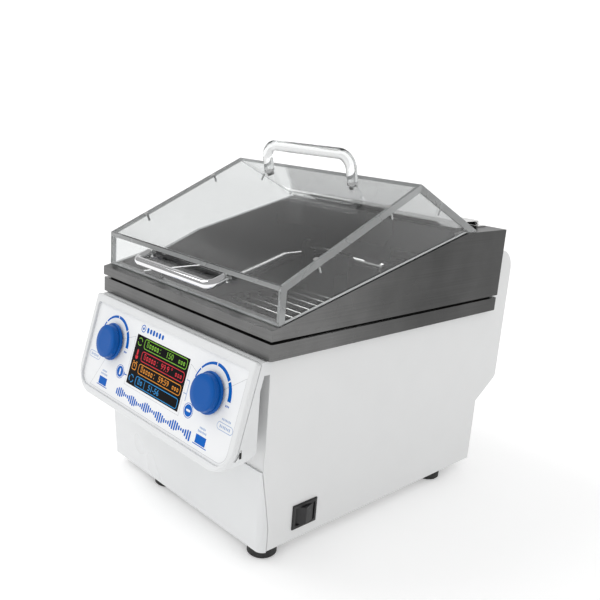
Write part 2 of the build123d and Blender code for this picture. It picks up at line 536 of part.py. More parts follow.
def box_bolt_holes():
    holes = [rod_y(side * SPACER_X, -30, 30, z, 2.0) for side in (-1, 1) for z in SPACER_Z]
    return Compound(holes)


def build_control_box():
    build_fascia()
    # shell behind the fascia: a wedge that meets the body only under the rim
    outline = [(BOX_WRAP_Y, BODY_H - 0.6), (BOX_WRAP_Y, 186.2), (-0.5, 186.2), (BOX_BACK_Y, 172.0),
               (BOX_BACK_Y, 112.0), (-12.0, 106.5),
               fascia_point(107.5, BEZEL_BACK), fascia_point(1.0, BEZEL_BACK)]
    block = prism_x(outline, BEZEL_HALF - 0.4)
    for z, radius in ((112.0, 5.0), (172.0, 12.0)):
        corner = [e for e in block.edges().filter_by(Axis.X)
                  if abs(e.center().Y - BOX_BACK_Y) < 0.1 and abs(e.center().Z - z) < 0.1]
        block = fillet(corner, radius)
    shell = block & fascia_plate(BEZEL_HALF - 0.4, -30.0, BEZEL_BOTTOM - 2.4, BEZEL_R - 2.0, 3.0, -45.0,
                                 BEZEL_BACK)
    back = BOX_BACK_Y - 2
    cavity = [(back, 182.0), (back, 115.0), (-12.5, 109.5), fascia_point(103.0, BEZEL_BACK - 1),
              fascia_point(103.0, 3.0), fascia_point(18.5, 3.0), fascia_point(18.5, BEZEL_BACK - 1)]
    wall = 3.0
    hollow = prism_x(cavity, BEZEL_HALF - wall)
    hollow &= fascia_plate(BEZEL_HALF - wall, -30.0, BEZEL_BOTTOM - 5.0, BEZEL_R - 5.0, wall, -45.0, 5.0)
    shell -= hollow
    for side in (-1, 1):
        slot_y, slot_z = fascia_point(89.0, BEZEL_BACK - 1.6)
        shell -= Pos(side * BEZEL_HALF, slot_y, slot_z) * Rot(-PANEL_TILT, 0, 0) * Box(12, 1.9, 8.5)
    shell -= rod_y(0, -20, 20, CABLE_Z, CABLE_R) + box_bolt_holes()
    parts["control_box"] = shell

    # spacers between the box and the body, and the wiring duct in the middle
    spacers = []
    for side in (-1, 1):
        spacers.append(box(side * (SPACER_X - 12), side * (SPACER_X + 12), BOX_BACK_Y, FRONT_PLATE_Y,
                           118, 168))
    spacers.append(rod_y(0, BOX_BACK_Y, FRONT_PLATE_Y, CABLE_Z, CABLE_R + 2) - rod_y(0, -20, 20, CABLE_Z,
                                                                                     CABLE_R))
    parts["control_spacers"] = Compound([spacer - box_bolt_holes() for spacer in spacers])
    bolts = []
    for side in (-1, 1):
        for z in SPACER_Z:
            shank = rod_y(side * SPACER_X, back, FRONT_PLATE_Y + SHEET, z, 2.0)
            inner_head = rod_y(side * SPACER_X, back - 2.4, back, z, 3.6)
            nut = rod_y(side * SPACER_X, FRONT_PLATE_Y + SHEET, FRONT_PLATE_Y + SHEET + 2.8, z, 3.6)
            bolts.append(shank + inner_head + nut)
    parts["control_bolts"] = Compound(bolts)

    # display board on the back wall, with its chips
    board = box(-52, 52, back - 3.0, back - 1.4, 117, 160)
    for x, z in ((-48, 121), (48, 121), (-48, 156), (48, 156)):
        board += rod_y(x, back - 1.4, back, z, 3.0)
    for x, z, w, h in ((-34, 138, 14, 14), (-8, 150, 10, 6), (24, 136, 8, 12), (40, 148, 12, 8), (8, 124,
                                                                                                  22, 5)):
        board += box(x - w / 2, x + w / 2, back - 4.4, back - 3.0, z - h / 2, z + h / 2)
    parts["control_board"] = board


def build_fascia():
    """Raised frame, printed film, display and the two encoders with their knobs."""
    bezel = fascia_plate(BEZEL_HALF, 1.0, BEZEL_BOTTOM, BEZEL_R, 3.0, BEZEL_BACK, BEZEL_PROUD)
    bezel = fillet(bezel.faces().sort_by(Axis.Y)[0].edges(), 2.2)
    bezel -= fascia_plate(OVERLAY_HALF, OVERLAY_TOP, OVERLAY_BOTTOM, OVERLAY_R, 4.0, -0.4, BEZEL_PROUD + 2)
    middle = (DISPLAY_TOP + DISPLAY_BOTTOM) / 2
    height = DISPLAY_BOTTOM - DISPLAY_TOP
    window = on_fascia(Box(2 * DISPLAY_HALF, height, 20), 0, middle)
    film = fascia_plate(OVERLAY_HALF - 0.2, OVERLAY_TOP + 0.2, OVERLAY_BOTTOM - 0.2, OVERLAY_R - 0.2,
                        3.8, -0.4, 0.0)
    for side in (-1, 1):
        window += on_fascia(Cylinder(4.2, 20), side * KNOB_X, KNOB_S)
    parts["control_bezel"] = bezel - window
    parts["fascia_film"] = film - window
    parts["display_window"] = on_fascia(Box(2 * DISPLAY_HALF, height, 1.4), 0, middle, -0.7)
    parts["display_module"] = on_fascia(Box(2 * DISPLAY_HALF, height, 2.6), 0, middle, -2.7)

    encoders = []
    for side, name in ((-1, "left"), (1, "right")):
        can = on_fascia(Box(12.4, 13.2, 6.0), side * KNOB_X, KNOB_S, BEZEL_BACK - 3.0)
        bush = on_fascia(Cylinder(4.2, 3.6), side * KNOB_X, KNOB_S, BEZEL_BACK + 1.8)
        bore = on_fascia(Cylinder(SHAFT_R + SHAFT_PLAY, 20), side * KNOB_X, KNOB_S, SHAFT_IN - 1.6 + 10)
        encoders.append((can + bush) - bore)
        length = SHAFT_OUT - SHAFT_IN
        parts["encoder_shaft_" + name] = on_fascia(Cylinder(SHAFT_R, length), side * KNOB_X, KNOB_S,
                                                   (SHAFT_IN + SHAFT_OUT) / 2)
        parts["knob_" + name] = on_fascia(knob_solid(), side * KNOB_X, KNOB_S)
    parts["encoders"] = Compound(encoders)


def knob_solid():
    """Cap with a flat face, a groove and a wider skirt, bored for the encoder shaft."""
    outline = Polyline((0, KNOB_LIFT), (KNOB_SKIRT_R - 0.8, KNOB_LIFT), (KNOB_SKIRT_R, KNOB_LIFT + 0.8),
                       (KNOB_SKIRT_R, KNOB_LIFT + 2.4), (KNOB_SKIRT_R - 1.2, KNOB_LIFT + 3.2),
                       (KNOB_CAP_R + 1.0, KNOB_LIFT + 3.2), (KNOB_CAP_R + 1.0, KNOB_LIFT + 4.0),
                       (KNOB_CAP_R + 1.6, KNOB_LIFT + 4.5), (KNOB_CAP_R + 0.9, KNOB_TOP - 1.4),
                       (KNOB_CAP_R - 0.4, KNOB_TOP), (0, KNOB_TOP), close=True)
    body = revolve(Plane.XZ * make_face(outline), axis=Axis.Z)
    return body - Cylinder(SHAFT_R + SHAFT_PLAY, 2 * SHAFT_OUT)


# ================================================================= rocker switch
def build_switch():
    x0 = BODY_HALF
    half_l, half_w = SWITCH_L / 2, SWITCH_W / 2
    frame = box(x0, x0 + SWITCH_PROUD, SWITCH_Y - half_l, SWITCH_Y + half_l, SWITCH_Z - half_w,
                SWITCH_Z + half_w)
    frame = fillet(frame.faces().sort_by(Axis.X)[-1].edges(), 1.0)
    frame += box(x0 - 22, x0, SWITCH_Y - 13.6, SWITCH_Y + 13.6, SWITCH_Z - 11, SWITCH_Z + 11)
    for y in (-7.0, 0.0, 7.0):
        frame += box(x0 - 32, x0 - 22, SWITCH_Y + y - 0.4, SWITCH_Y + y + 0.4, SWITCH_Z - 3.1,
                     SWITCH_Z + 3.1)
    inner_l, inner_w = ROCKER_HALF_L + 0.8, ROCKER_HALF_W + 0.4
    frame -= box(x0 - 12, x0 + 6, SWITCH_Y - inner_l, SWITCH_Y + inner_l, SWITCH_Z - inner_w,
                 SWITCH_Z + inner_w)
    parts["switch_frame"] = frame
    half = ROCKER_HALF_L
    section = Polyline((-4.5, -5), (-4.5, 5), (-3.4, half - 1), (4.2, half), (ROCKER_RIDGE, 0.8),
                       (ROCKER_RIDGE, -0.8), (4.2, -half), (-3.4, -half + 1), close=True)
    rocker = extrude(make_face(section), amount=ROCKER_HALF_W, both=True)
    parts["switch_rocker"] = Pos(ROCKER_X, SWITCH_Y, SWITCH_Z) * Rot(0, 0, -ROCKER_TILT) * rocker


# ================================================================= rear drive
def housing_prism(inset, front):
    """Side outline of the housing, pulled in by inset, from front to its back wall."""
    back, top = HOUSING_BACK - inset, HOUSING_TOP - inset
    foot = HOUSING_FOOT + 1.3 * inset
    block = prism_x([(front, top), (back, top), (back, HOUSING_LOW + inset / 2), (RIM_D + 0.4, foot),
                     (front, foot)], HOUSING_HALF - inset)
    for z, radius in ((top, 26.0), (HOUSING_LOW + inset / 2, 9.0)):
        corner = [e for e in block.edges().filter_by(Axis.X)
                  if abs(e.center().Z - z) < 0.1 and e.center().Y > back - 0.1]
        block = fillet(corner, radius - inset)
    return block


def build_rear_drive():
    # only the lower part reaches forward to the rear panel, below the rim band
    shell = housing_prism(0.0, BODY_BACK) - housing_prism(HOUSING_WALL, BODY_BACK - 5)
    shell -= box(-200, 200, BODY_BACK - 5, RIM_D + 0.4, BODY_H - 0.3, 400)
    for row in range(7):
        slot = extrude(SlotOverall(70, 3.6), amount=8, both=True)
        shell -= Pos(0, HOUSING_BACK - 1, 132 + 9 * row) * Rot(90, 0, 0) * slot
    parts["drive_housing"] = shell

    # gear motor upright on its bracket, and the crank disc on its shaft
    bracket = box(-34, 34, BODY_BACK, BODY_BACK + 2.5, 92, 200)
    bracket += box(-24, 24, BODY_BACK, CRANK_Y + 17, BRACKET_Z - 3, BRACKET_Z)
    bracket -= rod_z(0, CRANK_Y, BRACKET_Z - 10, BRACKET_Z + 10, 6.0)
    bracket -= box(-20, 20, BODY_BACK - 1, BODY_BACK + 5, 112, 180)
    parts["motor_bracket"] = bracket
    low = BRACKET_Z - 3
    motor = rod_z(0, CRANK_Y, low - 88, low - 24, 17.0) + rod_z(0, CRANK_Y, low - 24, low, 18.0)
    motor += rod_z(0, CRANK_Y, low, low + 7, 6.0) + rod_z(0, CRANK_Y, low - 94, low - 88, 8.0)
    parts["gear_motor"] = motor - rod_z(0, CRANK_Y, low - 14, low + 20, 3.05)
    crank = rod_z(0, CRANK_Y, low - 13, CRANK_Z, 3.0) + rod_z(0, CRANK_Y, CRANK_Z - 5, CRANK_Z, 15.0)
    crank += rod_z(0, CRANK_Y - CRANK_PIN_R, CRANK_Z, ARM_Z - 2.6, 3.0)
    parts["crank_disc"] = crank


# ================================================================= shaking tray
def build_tray():
    half = TRAY_HALF_X
    y0, y1 = TRAY_Y
    under = TRAY_Z - STEEL
    plate = box(-half, half, y0, y1, TRAY_Z, TRAY_Z + STEEL)
    holes = []
    for row in range(9):
        for col in range(8):
            holes.append(Pos(-84 + 24 * col, y0 + 26 + ROD_PITCH * row, TRAY_Z) * Cylinder(5.0, 10))
    plate -= Compound(holes)
    for side in (-1, 1):
        plate += box(side * half, side * (half - STEEL), y0, y1, TRAY_Z, ROD_Z + 5)
    for y in (y0, y1 - STEEL):
        plate += box(-half, half, y, y + STEEL, TRAY_Z, TRAY_Z + 9)
    rods = Compound([rod_x(-half, half, y0 + 15.3 + ROD_PITCH * row, ROD_Z, ROD_R) for row in range(10)])
    parts["tray"] = plate - rods
    parts["tray_rods"] = rods

    # slide blocks on the two guide shafts
    rear_bore = rod_x(-100, 100, GUIDE_Y, GUIDE_Z, GUIDE_R + GUIDE_PLAY)
    front_bore = rod_x(-100, 100, FRONT_GUIDE_Y, FRONT_GUIDE_Z, GUIDE_R + GUIDE_PLAY)
    block = box(20, 57, GUIDE_Y - 11, GUIDE_Y + 11, GUIDE_Z - 9, GUIDE_Z + 10)
    blocks = [fillet(block.edges().filter_by(Axis.Z), 2.0) - rear_bore]
    for side in (-1, 1):
        block = box(side * 22, side * 58, FRONT_GUIDE_Y - 9, FRONT_GUIDE_Y + 9, FRONT_GUIDE_Z - 8,
                    FRONT_GUIDE_Z + 8)
        blocks.append(fillet(block.edges().filter_by(Axis.X), 2.0) - front_bore)
    parts["slide_blocks"] = Compound(blocks)
    sleeve = rod_x(-62, 20, GUIDE_Y, GUIDE_Z, SLEEVE_R) + rod_x(14.2, 19.4, GUIDE_Y, GUIDE_Z,
                                                                SLEEVE_R + 2.8)
    parts["drive_sleeve"] = sleeve - rear_bore

    # bent straps that carry the tray from the blocks and the sleeve
    straps = []
    strap_y = GUIDE_Y - 11 - STEEL
    for x0, x1 in ((20, 57), (-58, -36)):
        strap = box(x0, x1, strap_y, strap_y + STEEL, under, GUIDE_Z + 6)
        strap += box(x0, x1, y1 - 30, strap_y + STEEL, under, TRAY_Z)
        straps.append(strap)
    saddle = box(-58, -36, strap_y, GUIDE_Y - 4, GUIDE_Z - 8, GUIDE_Z + 6)
    straps[1] = (straps[1] + saddle) - rod_x(-100, 100, GUIDE_Y, GUIDE_Z, SLEEVE_R)
    top = FRONT_GUIDE_Z + 8
    edge = FRONT_GUIDE_Y + 9
    for side in (-1, 1):
        x0, x1 = side * 22, side * 58
        strap = box(x0, x1, FRONT_GUIDE_Y - 9, edge, top, top + STEEL)
        strap += box(x0, x1, edge - STEEL, edge, top, TRAY_Z) + box(x0, x1, edge - STEEL, y0 + 24, under,
                                                                    TRAY_Z)
        straps.append(strap)
    parts["tray_straps"] = Compound(straps)

    # arm from the sleeve out to the crank, with the slot that takes the crank pin
    arm = box(-ARM_HALF, ARM_HALF, GUIDE_Y - 7, CRANK_Y + 16, ARM_Z - 2, ARM_Z)
    slot = extrude(SlotOverall(2 * CRANK_PIN_R + 7, 6.8), amount=6, both=True)
    arm -= Pos(0, CRANK_Y, ARM_Z) * Rot(0, 0, 90) * slot
    arm += box(-ARM_HALF, 12, GUIDE_Y - 7, GUIDE_Y + 7, GUIDE_Z + 4, ARM_Z)
    parts["drive_arm"] = arm - rod_x(-100, 100, GUIDE_Y, GUIDE_Z, SLEEVE_R)


# ================================================================= feet and power board
def build_feet():
    feet, screws = [], []
    for x, y in FOOT_POINTS:
        foot = rod_z(x, y, -FOOT_H, FOOT_SEAT_Z, FOOT_R)
        foot = chamfer(foot.edges().sort_by(Axis.Z)[0], 1.4)
        foot += rod_z(x, y, FOOT_SEAT_Z, PAN_Z, 5.5)
        foot -= rod_z(x, y, -FOOT_H - 1, -FOOT_H + 4.5, 5.2) + rod_z(x, y, -20, 10, 2.1)
        feet.append(foot)
        screws.append(rod_z(x, y, -FOOT_H + 1.6, -FOOT_H + 4.5, 4.4) + rod_z(x, y, -FOOT_H + 4.5, 7.5, 2.1))
    parts["feet"] = Compound(feet)
    parts["foot_screws"] = Compound(screws)


def build_power_board():
    """Supply board on four posts above the base pan, with its tall components."""
    z0 = 22.0
    z1 = z0 + 1.6
    board = box(-70, 20, 215, 300, z0, z1)
    for x in (-65, 15):
        for y in (220, 295):
            board += rod_z(x, y, PAN_Z + SHEET, z0, 3.5)
    board += rod_z(-50, 240, z1, 46, 9) + rod_z(-28, 240, z1, 46, 9) + box(-10, 14, 225, 255, z1, 44)
    board += box(-62, -30, 262, 294, z1, 34) + box(-20, 8, 268, 290, z1, 40)
    parts["power_board"] = board


def export_all():
    """Move the machine so that its footprint centre is the origin, and write one file per part."""
    os.makedirs("parts", exist_ok=True)
    for old in os.listdir("parts"):
        os.remove(os.path.join("parts", old))
    boxes = [shape.bounding_box() for shape in parts.values()]
    y_mid = (min(b.min.Y for b in boxes) + max(b.max.Y for b in boxes)) / 2
    z_low = min(b.min.Z for b in boxes)
    for name, shape in parts.items():
        solids = shape.solids()
        shape = solids[0] if len(solids) == 1 else Compound(children=list(solids))
        export_step(Pos(0, -y_mid, -z_low) * shape, "parts/" + name + ".step")
    print("moved by", round(-y_mid, 3), round(-z_low, 3), "parts", len(parts))


build_body()
build_rear_services()
build_tank()
build_cover()
build_lid()
build_control_box()
build_switch()
build_rear_drive()
build_tray()
build_feet()
build_power_board()
export_all()
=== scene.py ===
import json
import math

import bmesh
import bpy
from bpy.props import FloatProperty, FloatVectorProperty, IntProperty, PointerProperty
from mathutils import Matrix, Vector


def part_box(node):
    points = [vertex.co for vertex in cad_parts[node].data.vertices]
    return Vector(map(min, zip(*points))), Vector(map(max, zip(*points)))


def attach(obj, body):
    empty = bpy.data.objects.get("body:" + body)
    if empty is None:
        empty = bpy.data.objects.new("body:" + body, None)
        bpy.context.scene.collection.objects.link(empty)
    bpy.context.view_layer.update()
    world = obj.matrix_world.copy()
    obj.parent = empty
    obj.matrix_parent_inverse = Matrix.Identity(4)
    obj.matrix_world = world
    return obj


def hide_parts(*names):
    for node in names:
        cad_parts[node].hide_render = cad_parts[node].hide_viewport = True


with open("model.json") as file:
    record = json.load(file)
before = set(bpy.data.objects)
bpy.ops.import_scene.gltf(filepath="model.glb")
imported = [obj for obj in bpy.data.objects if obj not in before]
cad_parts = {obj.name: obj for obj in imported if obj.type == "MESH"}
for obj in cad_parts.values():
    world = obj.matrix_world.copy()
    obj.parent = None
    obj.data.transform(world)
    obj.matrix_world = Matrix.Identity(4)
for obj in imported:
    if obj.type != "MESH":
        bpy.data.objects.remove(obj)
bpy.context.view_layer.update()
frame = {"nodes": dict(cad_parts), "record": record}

bl_info = {
    "name": "Shaking water bath",
    "version": (1, 0, 0),
    "blender": (4, 5, 0),
    "location": "3D View > Sidebar > Water Bath",
    "description": "Builds the finished look of a bench-top shaking water bath round its CAD frame",
    "category": "Add Mesh",
}

MM = 0.001
BODY_OF = {node: body for body, nodes in frame["record"]["behaviour"]["bodies"].items() for node in nodes}
SLOT_OF = {row["node"]: row["material_slot"] for row in frame["record"]["subparts"]}

# The control panel. Places on it are in millimetres: x across from the middle, s down from its upper edge
PANEL_TILT = math.radians(15.0)          # lean of the control panel
FILM_TOP = 9.4 * MM                      # the printed film's upper edge, down from the top of the panel plane
FILM_THICK = 0.4 * MM
PRINT_LIFT = 0.03                        # print and lit elements stand this far out of the film
KNOB_X, KNOB_S = 87.8, 45.0
SCALE_PARTS = ((166, 143.5), (140.5, 93.5), (90.5, 41.5), (38.5, 0))   # angles of the four parts of a scale
SCALE_OUTER, SCALE_START = 28.9, 166     # outer radius and first angle
SCALE_THIN, SCALE_GROWTH = 1.4, 3.4      # line width at the start, and what it gains by the end
ROUND_ICON_X, ROUND_ICON_S = 62.6, 70.8
ROUND_ICON_RINGS = (7.4, 6.8, 5.9)
SCREEN_ICON_X, SCREEN_ICON_S = 90.2, 90.2
CAPTION_ROWS = ((79.2, 11.0), (82.6, 14.0))   # place and length of the dashes above each screen icon
PILL_X, PILL_S = 118.0, 68.2             # outlined labels at both sides
DASH_PITCH = 1.9                         # spacing of the dashes that stand for small words
STRIP_BARS, STRIP_START, STRIP_PITCH, STRIP_S = 38, -59.5, 3.6, 91.4
MARK_X, MARK_S = -39.6, 17.4
MARK_RINGS = (4.0, 3.1, 1.5)
OUTLINE_INSET, OUTLINE_LINE, OUTLINE_THICK = 2.4 * MM, 0.35 * MM, 0.04 * MM

# The lit rows of the display: glow, place and figures
DISPLAY_ROWS = (("glow_green", 31.5, "150"), ("glow_red", 44.7, "99.9 \u00b0"),
                ("glow_orange", 57.9, "59:59"), ("glow_blue", 71.1, "51-56"))
ROW_X, ROW_WIDE, ROW_HIGH = 6.2, 76.0, 10.8
ROW_ICON_X, ROW_WORD_X, ROW_UNIT_X = -39.8, -25.4, 31.2
FIGURE_SIZE = 8.6

PLATE_SHRINK = 0.03                      # keeps the faces of neighbouring clear plates apart
BOX_SLOT_Y, BOX_SLOT_Z = (-206.4, -204.2), (123.6, 131.6)   # small slot in the side of the control box

# The camera and the light
CAMERA_AZIMUTH, CAMERA_ELEVATION, CAMERA_ROLL = (math.radians(angle) for angle in (45.438, 14.280, 4.381))
CAMERA_PLACE = (0.58673, -0.58729, 0.42191)
KEY_PLACE, KEY_AXIS = (-1.0, -1.5, 2.5), (-0.62, -0.34, 0.72)
KEY_WIDTH = math.radians(32.0)
FILL_SIDE = (-0.80, -0.60, 0.1)          # where the soft fill comes from
BACKDROP_GAIN = 1.3                      # makes the backdrop plain white to the camera
FLOOR_SIZE, FLOOR_GLOW = 30.0, 0.24


# ------------------------------------------------------------------ small modelling helpers
def clear_selection():
    active = bpy.context.view_layer.objects.active
    if active is not None and active.mode != "OBJECT":
        bpy.ops.object.mode_set(mode="OBJECT")
    bpy.ops.object.select_all(action="DESELECT")


def only(piece):
    """Select this piece alone and make it active."""
    clear_selection()
    piece.select_set(True)
    bpy.context.view_layer.objects.active = piece


def enter_edit(piece):
    """Edit mode with every face of the piece selected."""
    only(piece)
    bpy.ops.object.mode_set(mode="EDIT")
    bpy.ops.mesh.select_mode(type="FACE")
    bpy.ops.mesh.select_all(action="SELECT")


def leave_edit():
    bpy.ops.object.mode_set(mode="OBJECT")


def pick_faces(piece, test):
    """Select only the faces that pass the test, in edit mode."""
    mesh = bmesh.from_edit_mesh(piece.data)
    for face in mesh.faces:
        face.select_set(False)
    for face in mesh.faces:
        if test(face):
            face.select_set(True)
    bmesh.update_edit_mesh(piece.data)


def apply_modifier(piece, kind, **values):
    """Add a modifier with these settings and apply it."""
    only(piece)
    modifier = piece.modifiers.new(kind.lower(), kind)
    for key, value in values.items():
        setattr(modifier, key, value)
    bpy.ops.object.modifier_apply(modifier=modifier.name)


def round_edges(piece, width, segments=2, angle=40.0):
    """Round the sharp edges and keep the flats shaded flat."""
    smooth(piece, angle)
    apply_modifier(piece, "BEVEL", width=width, segments=segments, limit_method="ANGLE",
                   angle_limit=math.radians(angle), use_clamp_overlap=False, harden_normals=True)


def smooth(piece, angle=35.0):
    only(piece)
    bpy.ops.object.shade_smooth_by_angle(angle=math.radians(angle))


def place(piece, matrix):
    """Put the piece where it goes and move that place into its mesh."""
    only(piece)
    piece.matrix_world = matrix @ piece.matrix_world
    bpy.ops.object.transform_apply(location=True, rotation=True, scale=True)


def show(piece, body, surface_name, nodes=()):
    """Give the piece its material, its body and the CAD nodes that it stands for."""
    piece.data.materials.clear()
    piece.data.materials.append(surface(surface_name))
    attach(piece, body)
    if nodes:
        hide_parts(*nodes)
    return piece


def welded_copy(node, name, whole=False):
    """Copy of a CAD part with its triangles welded, and merged into whole faces if asked."""
    clear_selection()
    piece = frame["nodes"][node].copy()
    piece.data = piece.data.copy()
    piece.name = name
    piece.parent = None
    for key in list(piece.keys()):
        del piece[key]
    bpy.context.scene.collection.objects.link(piece)
    piece.hide_set(False)
    piece.hide_render = False
    piece.hide_viewport = False
    enter_edit(piece)
    bpy.ops.mesh.remove_doubles(threshold=1e-6)
    if whole:
        bpy.ops.mesh.dissolve_limited(angle_limit=math.radians(0.4))
    leave_edit()
    return piece


def dressed(node, finish=None, shrink=0.0, angle=30.0):
    """Welded copy of a CAD part with its rounds shaded smooth and its flats flat, shown in its place."""
    piece = welded_copy(node, node + "_shell")
    if shrink:
        enter_edit(piece)
        bpy.ops.transform.shrink_fatten(value=-shrink * MM)
        leave_edit()
    bpy.ops.mesh.customdata_custom_splitnormals_clear()
    smooth(piece, angle)
    apply_modifier(piece, "WEIGHTED_NORMAL", keep_sharp=True, weight=80)
    return show(piece, BODY_OF[node], finish or SLOT_OF[node], [node])


def dress(*nodes, **choices):
    """Dress several CAD parts alike, in the order given."""
    return [dressed(node, **choices) for node in nodes]


def block(name, low, high):
    """Box between two corners, from the unit cube."""
    clear_selection()
    low, high = Vector(low), Vector(high)
    bpy.ops.mesh.primitive_cube_add(size=1.0, location=(low + high) / 2)
    piece = bpy.context.object
    piece.name = name
    piece.scale = high - low
    bpy.ops.object.transform_apply(location=True, rotation=True, scale=True)
    return piece


def turned(name, profile, steps=64):
    """Turned part: a ring drawn through (radius, height) steps and closed at both ends."""
    clear_selection()
    radius, height = profile[0]
    bpy.ops.mesh.primitive_circle_add(vertices=steps, radius=radius, location=(0, 0, height), fill_type="NGON")
    piece = bpy.context.object
    piece.name = name
    bpy.ops.object.transform_apply(location=True)
    enter_edit(piece)
    for next_radius, next_height in profile[1:]:
        move = {"value": (0, 0, next_height - height)}
        bpy.ops.mesh.extrude_region_move(TRANSFORM_OT_translate=move)
        ratio = next_radius / radius
        bpy.ops.transform.resize(value=(ratio, ratio, 1.0))
        radius, height = next_radius, next_height
    bpy.ops.mesh.select_all(action="SELECT")
    bpy.ops.mesh.normals_make_consistent(inside=False)
    leave_edit()
    return piece


def joined(name, pieces):
    """Join finished meshes into one piece."""
    clear_selection()
    for piece in pieces:
        piece.select_set(True)
    bpy.context.view_layer.objects.active = pieces[0]
    if len(pieces) > 1:
        bpy.ops.object.join()
    pieces[0].name = name
    return pieces[0]


def basis(origin, x_axis, z_axis):
    """Placement matrix from an origin, a local X axis and a local Z axis."""
    z = Vector(z_axis).normalized()
    x = Vector(x_axis).normalized()
    y = z.cross(x)
    return Matrix(((x.x, y.x, z.x, origin[0]),
                   (x.y, y.y, z.y, origin[1]),
                   (x.z, y.z, z.z, origin[2]),
                   (0, 0, 0, 1)))


# ------------------------------------------------------------------ flat graphics
def circle_loop(x, y, radius, steps=40):
    """Circle about a centre."""
    turns = [2 * math.pi * i / steps for i in range(steps)]
    return [(x + radius * math.cos(a), y + radius * math.sin(a)) for a in turns]


def pill_loop(x, y, width, height, radius, steps=6):
    """Rounded rectangle about a centre."""
    radius = min(radius, width / 2, height / 2)
    out = []
    for quarter, (sx, sy) in enumerate(((1, 1), (-1, 1), (-1, -1), (1, -1))):
        cx, cy = x + sx * (width / 2 - radius), y + sy * (height / 2 - radius)
        for i in range(steps + 1):
            a = math.pi / 2 * (quarter + i / steps)
            out.append((cx + radius * math.cos(a), cy + radius * math.sin(a)))
    return out


def frame_loops(x, y, width, height, radius, line):
    """Outline of a rounded rectangle, as an outer and an inner loop."""
    return [pill_loop(x, y, width, height, radius),
            pill_loop(x, y, width - 2 * line, height - 2 * line, max(radius - line, 0.05))]


def arc_loop(x, y, outer, start, end, line_start, line_end, steps=16):
    """Part of a ring between two angles in degrees, whose width may change along it."""
    rows = []
    for i in range(steps + 1):
        a = math.radians(start + (end - start) * i / steps)
        inner = outer - (line_start + (line_end - line_start) * i / steps)
        rows.append(((x + outer * math.cos(a), y + outer * math.sin(a)),
                     (x + inner * math.cos(a), y + inner * math.sin(a))))
    return [row[0] for row in rows] + [row[1] for row in reversed(rows)]


def bar_loop(x, y, width, height):
    """Upright bar about a centre."""
    w, h = width / 2, height / 2
    return [(x - w, y - h), (x + w, y - h), (x + w, y + h), (x - w, y + h)]


def dash_row(x, y, count, pitch, width, height, extra, every, shift=0):
    """Row of short dashes in place of a word, of which every second or third one is taller."""
    return [bar_loop(x + pitch * i, y, width, height + extra * ((i + shift) % every == 0))
            for i in range(count)]


def flat_shape(name, loops, thick=0.06):
    """Thin closed solid from loops in millimetres; a loop inside another cuts a hole in it."""
    clear_selection()
    bpy.ops.curve.primitive_bezier_circle_add()
    piece = bpy.context.object
    piece.name = name
    curve = piece.data
    curve.splines.clear()
    curve.dimensions = "2D"
    curve.fill_mode = "BOTH"
    curve.extrude = thick * MM / 2
    for loop in loops:
        spline = curve.splines.new("POLY")
        spline.points.add(len(loop) - 1)
        for point, (x, y) in zip(spline.points, loop):
            point.co = (x * MM, y * MM, 0.0, 1.0)
        spline.use_cyclic_u = True
    return as_solid(piece)


def as_solid(piece):
    """Turn a flat curve or a line of figures into one closed mesh."""
    only(piece)
    bpy.ops.object.convert(target="MESH")
    piece = bpy.context.object
    enter_edit(piece)
    bpy.ops.mesh.remove_doubles(threshold=1e-7)
    bpy.ops.mesh.normals_make_consistent(inside=False)
    leave_edit()
    return piece


def digits(name, text, x, y, size, thick=0.06):
    """Figures as a thin solid, centred on a point in millimetres."""
    clear_selection()
    bpy.ops.object.text_add()
    piece = bpy.context.object
    piece.name = name
    piece.data.body = text
    piece.data.size = size * MM
    piece.data.align_x = "CENTER"
    piece.data.align_y = "CENTER"
    piece.data.extrude = thick * MM / 2
    piece.data.resolution_u = 3
    piece.location = (x * MM, y * MM, 0.0)
    piece = as_solid(piece)
    bpy.ops.object.transform_apply(location=True)
    return piece


# ------------------------------------------------------------------ places taken from the frame
def panel_matrix(x=0.0, s=0.0, h=0.0):
    """Place on the control panel: x across, s down from its top edge and h out of it, in metres."""
    low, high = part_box("fascia_film")
    up = Vector((0, math.sin(PANEL_TILT), math.cos(PANEL_TILT)))
    out = Vector((0, -math.cos(PANEL_TILT), math.sin(PANEL_TILT)))
    top_edge = Vector((0, high.y + FILM_THICK * out.y, high.z))
    origin = top_edge + up * FILM_TOP + Vector((1, 0, 0)) * x - up * s + out * h
    return basis(origin, (1, 0, 0), out)


# ------------------------------------------------------------------ shader groups
def group_tree(name, inputs, outputs):
    """Empty shader group with its named inputs and outputs."""
    tree = bpy.data.node_groups.new(name, "ShaderNodeTree")
    for label, kind, value in inputs:
        socket = tree.interface.new_socket(label, in_out="INPUT", socket_type=kind)
        socket.default_value = value
    for label, kind in outputs:
        tree.interface.new_socket(label, in_out="OUTPUT", socket_type=kind)
    return tree, tree.nodes.new("NodeGroupInput"), tree.nodes.new("NodeGroupOutput")


def add_node(tree, kind, **values):
    """New node with these properties set."""
    node = tree.nodes.new(kind)
    for key, value in values.items():
        setattr(node, key, value)
    return node


def link(source, output, target, socket):
    """Join an output of one node to an input of another in the same tree."""
    source.id_data.links.new(source.outputs[output], target.inputs[socket])


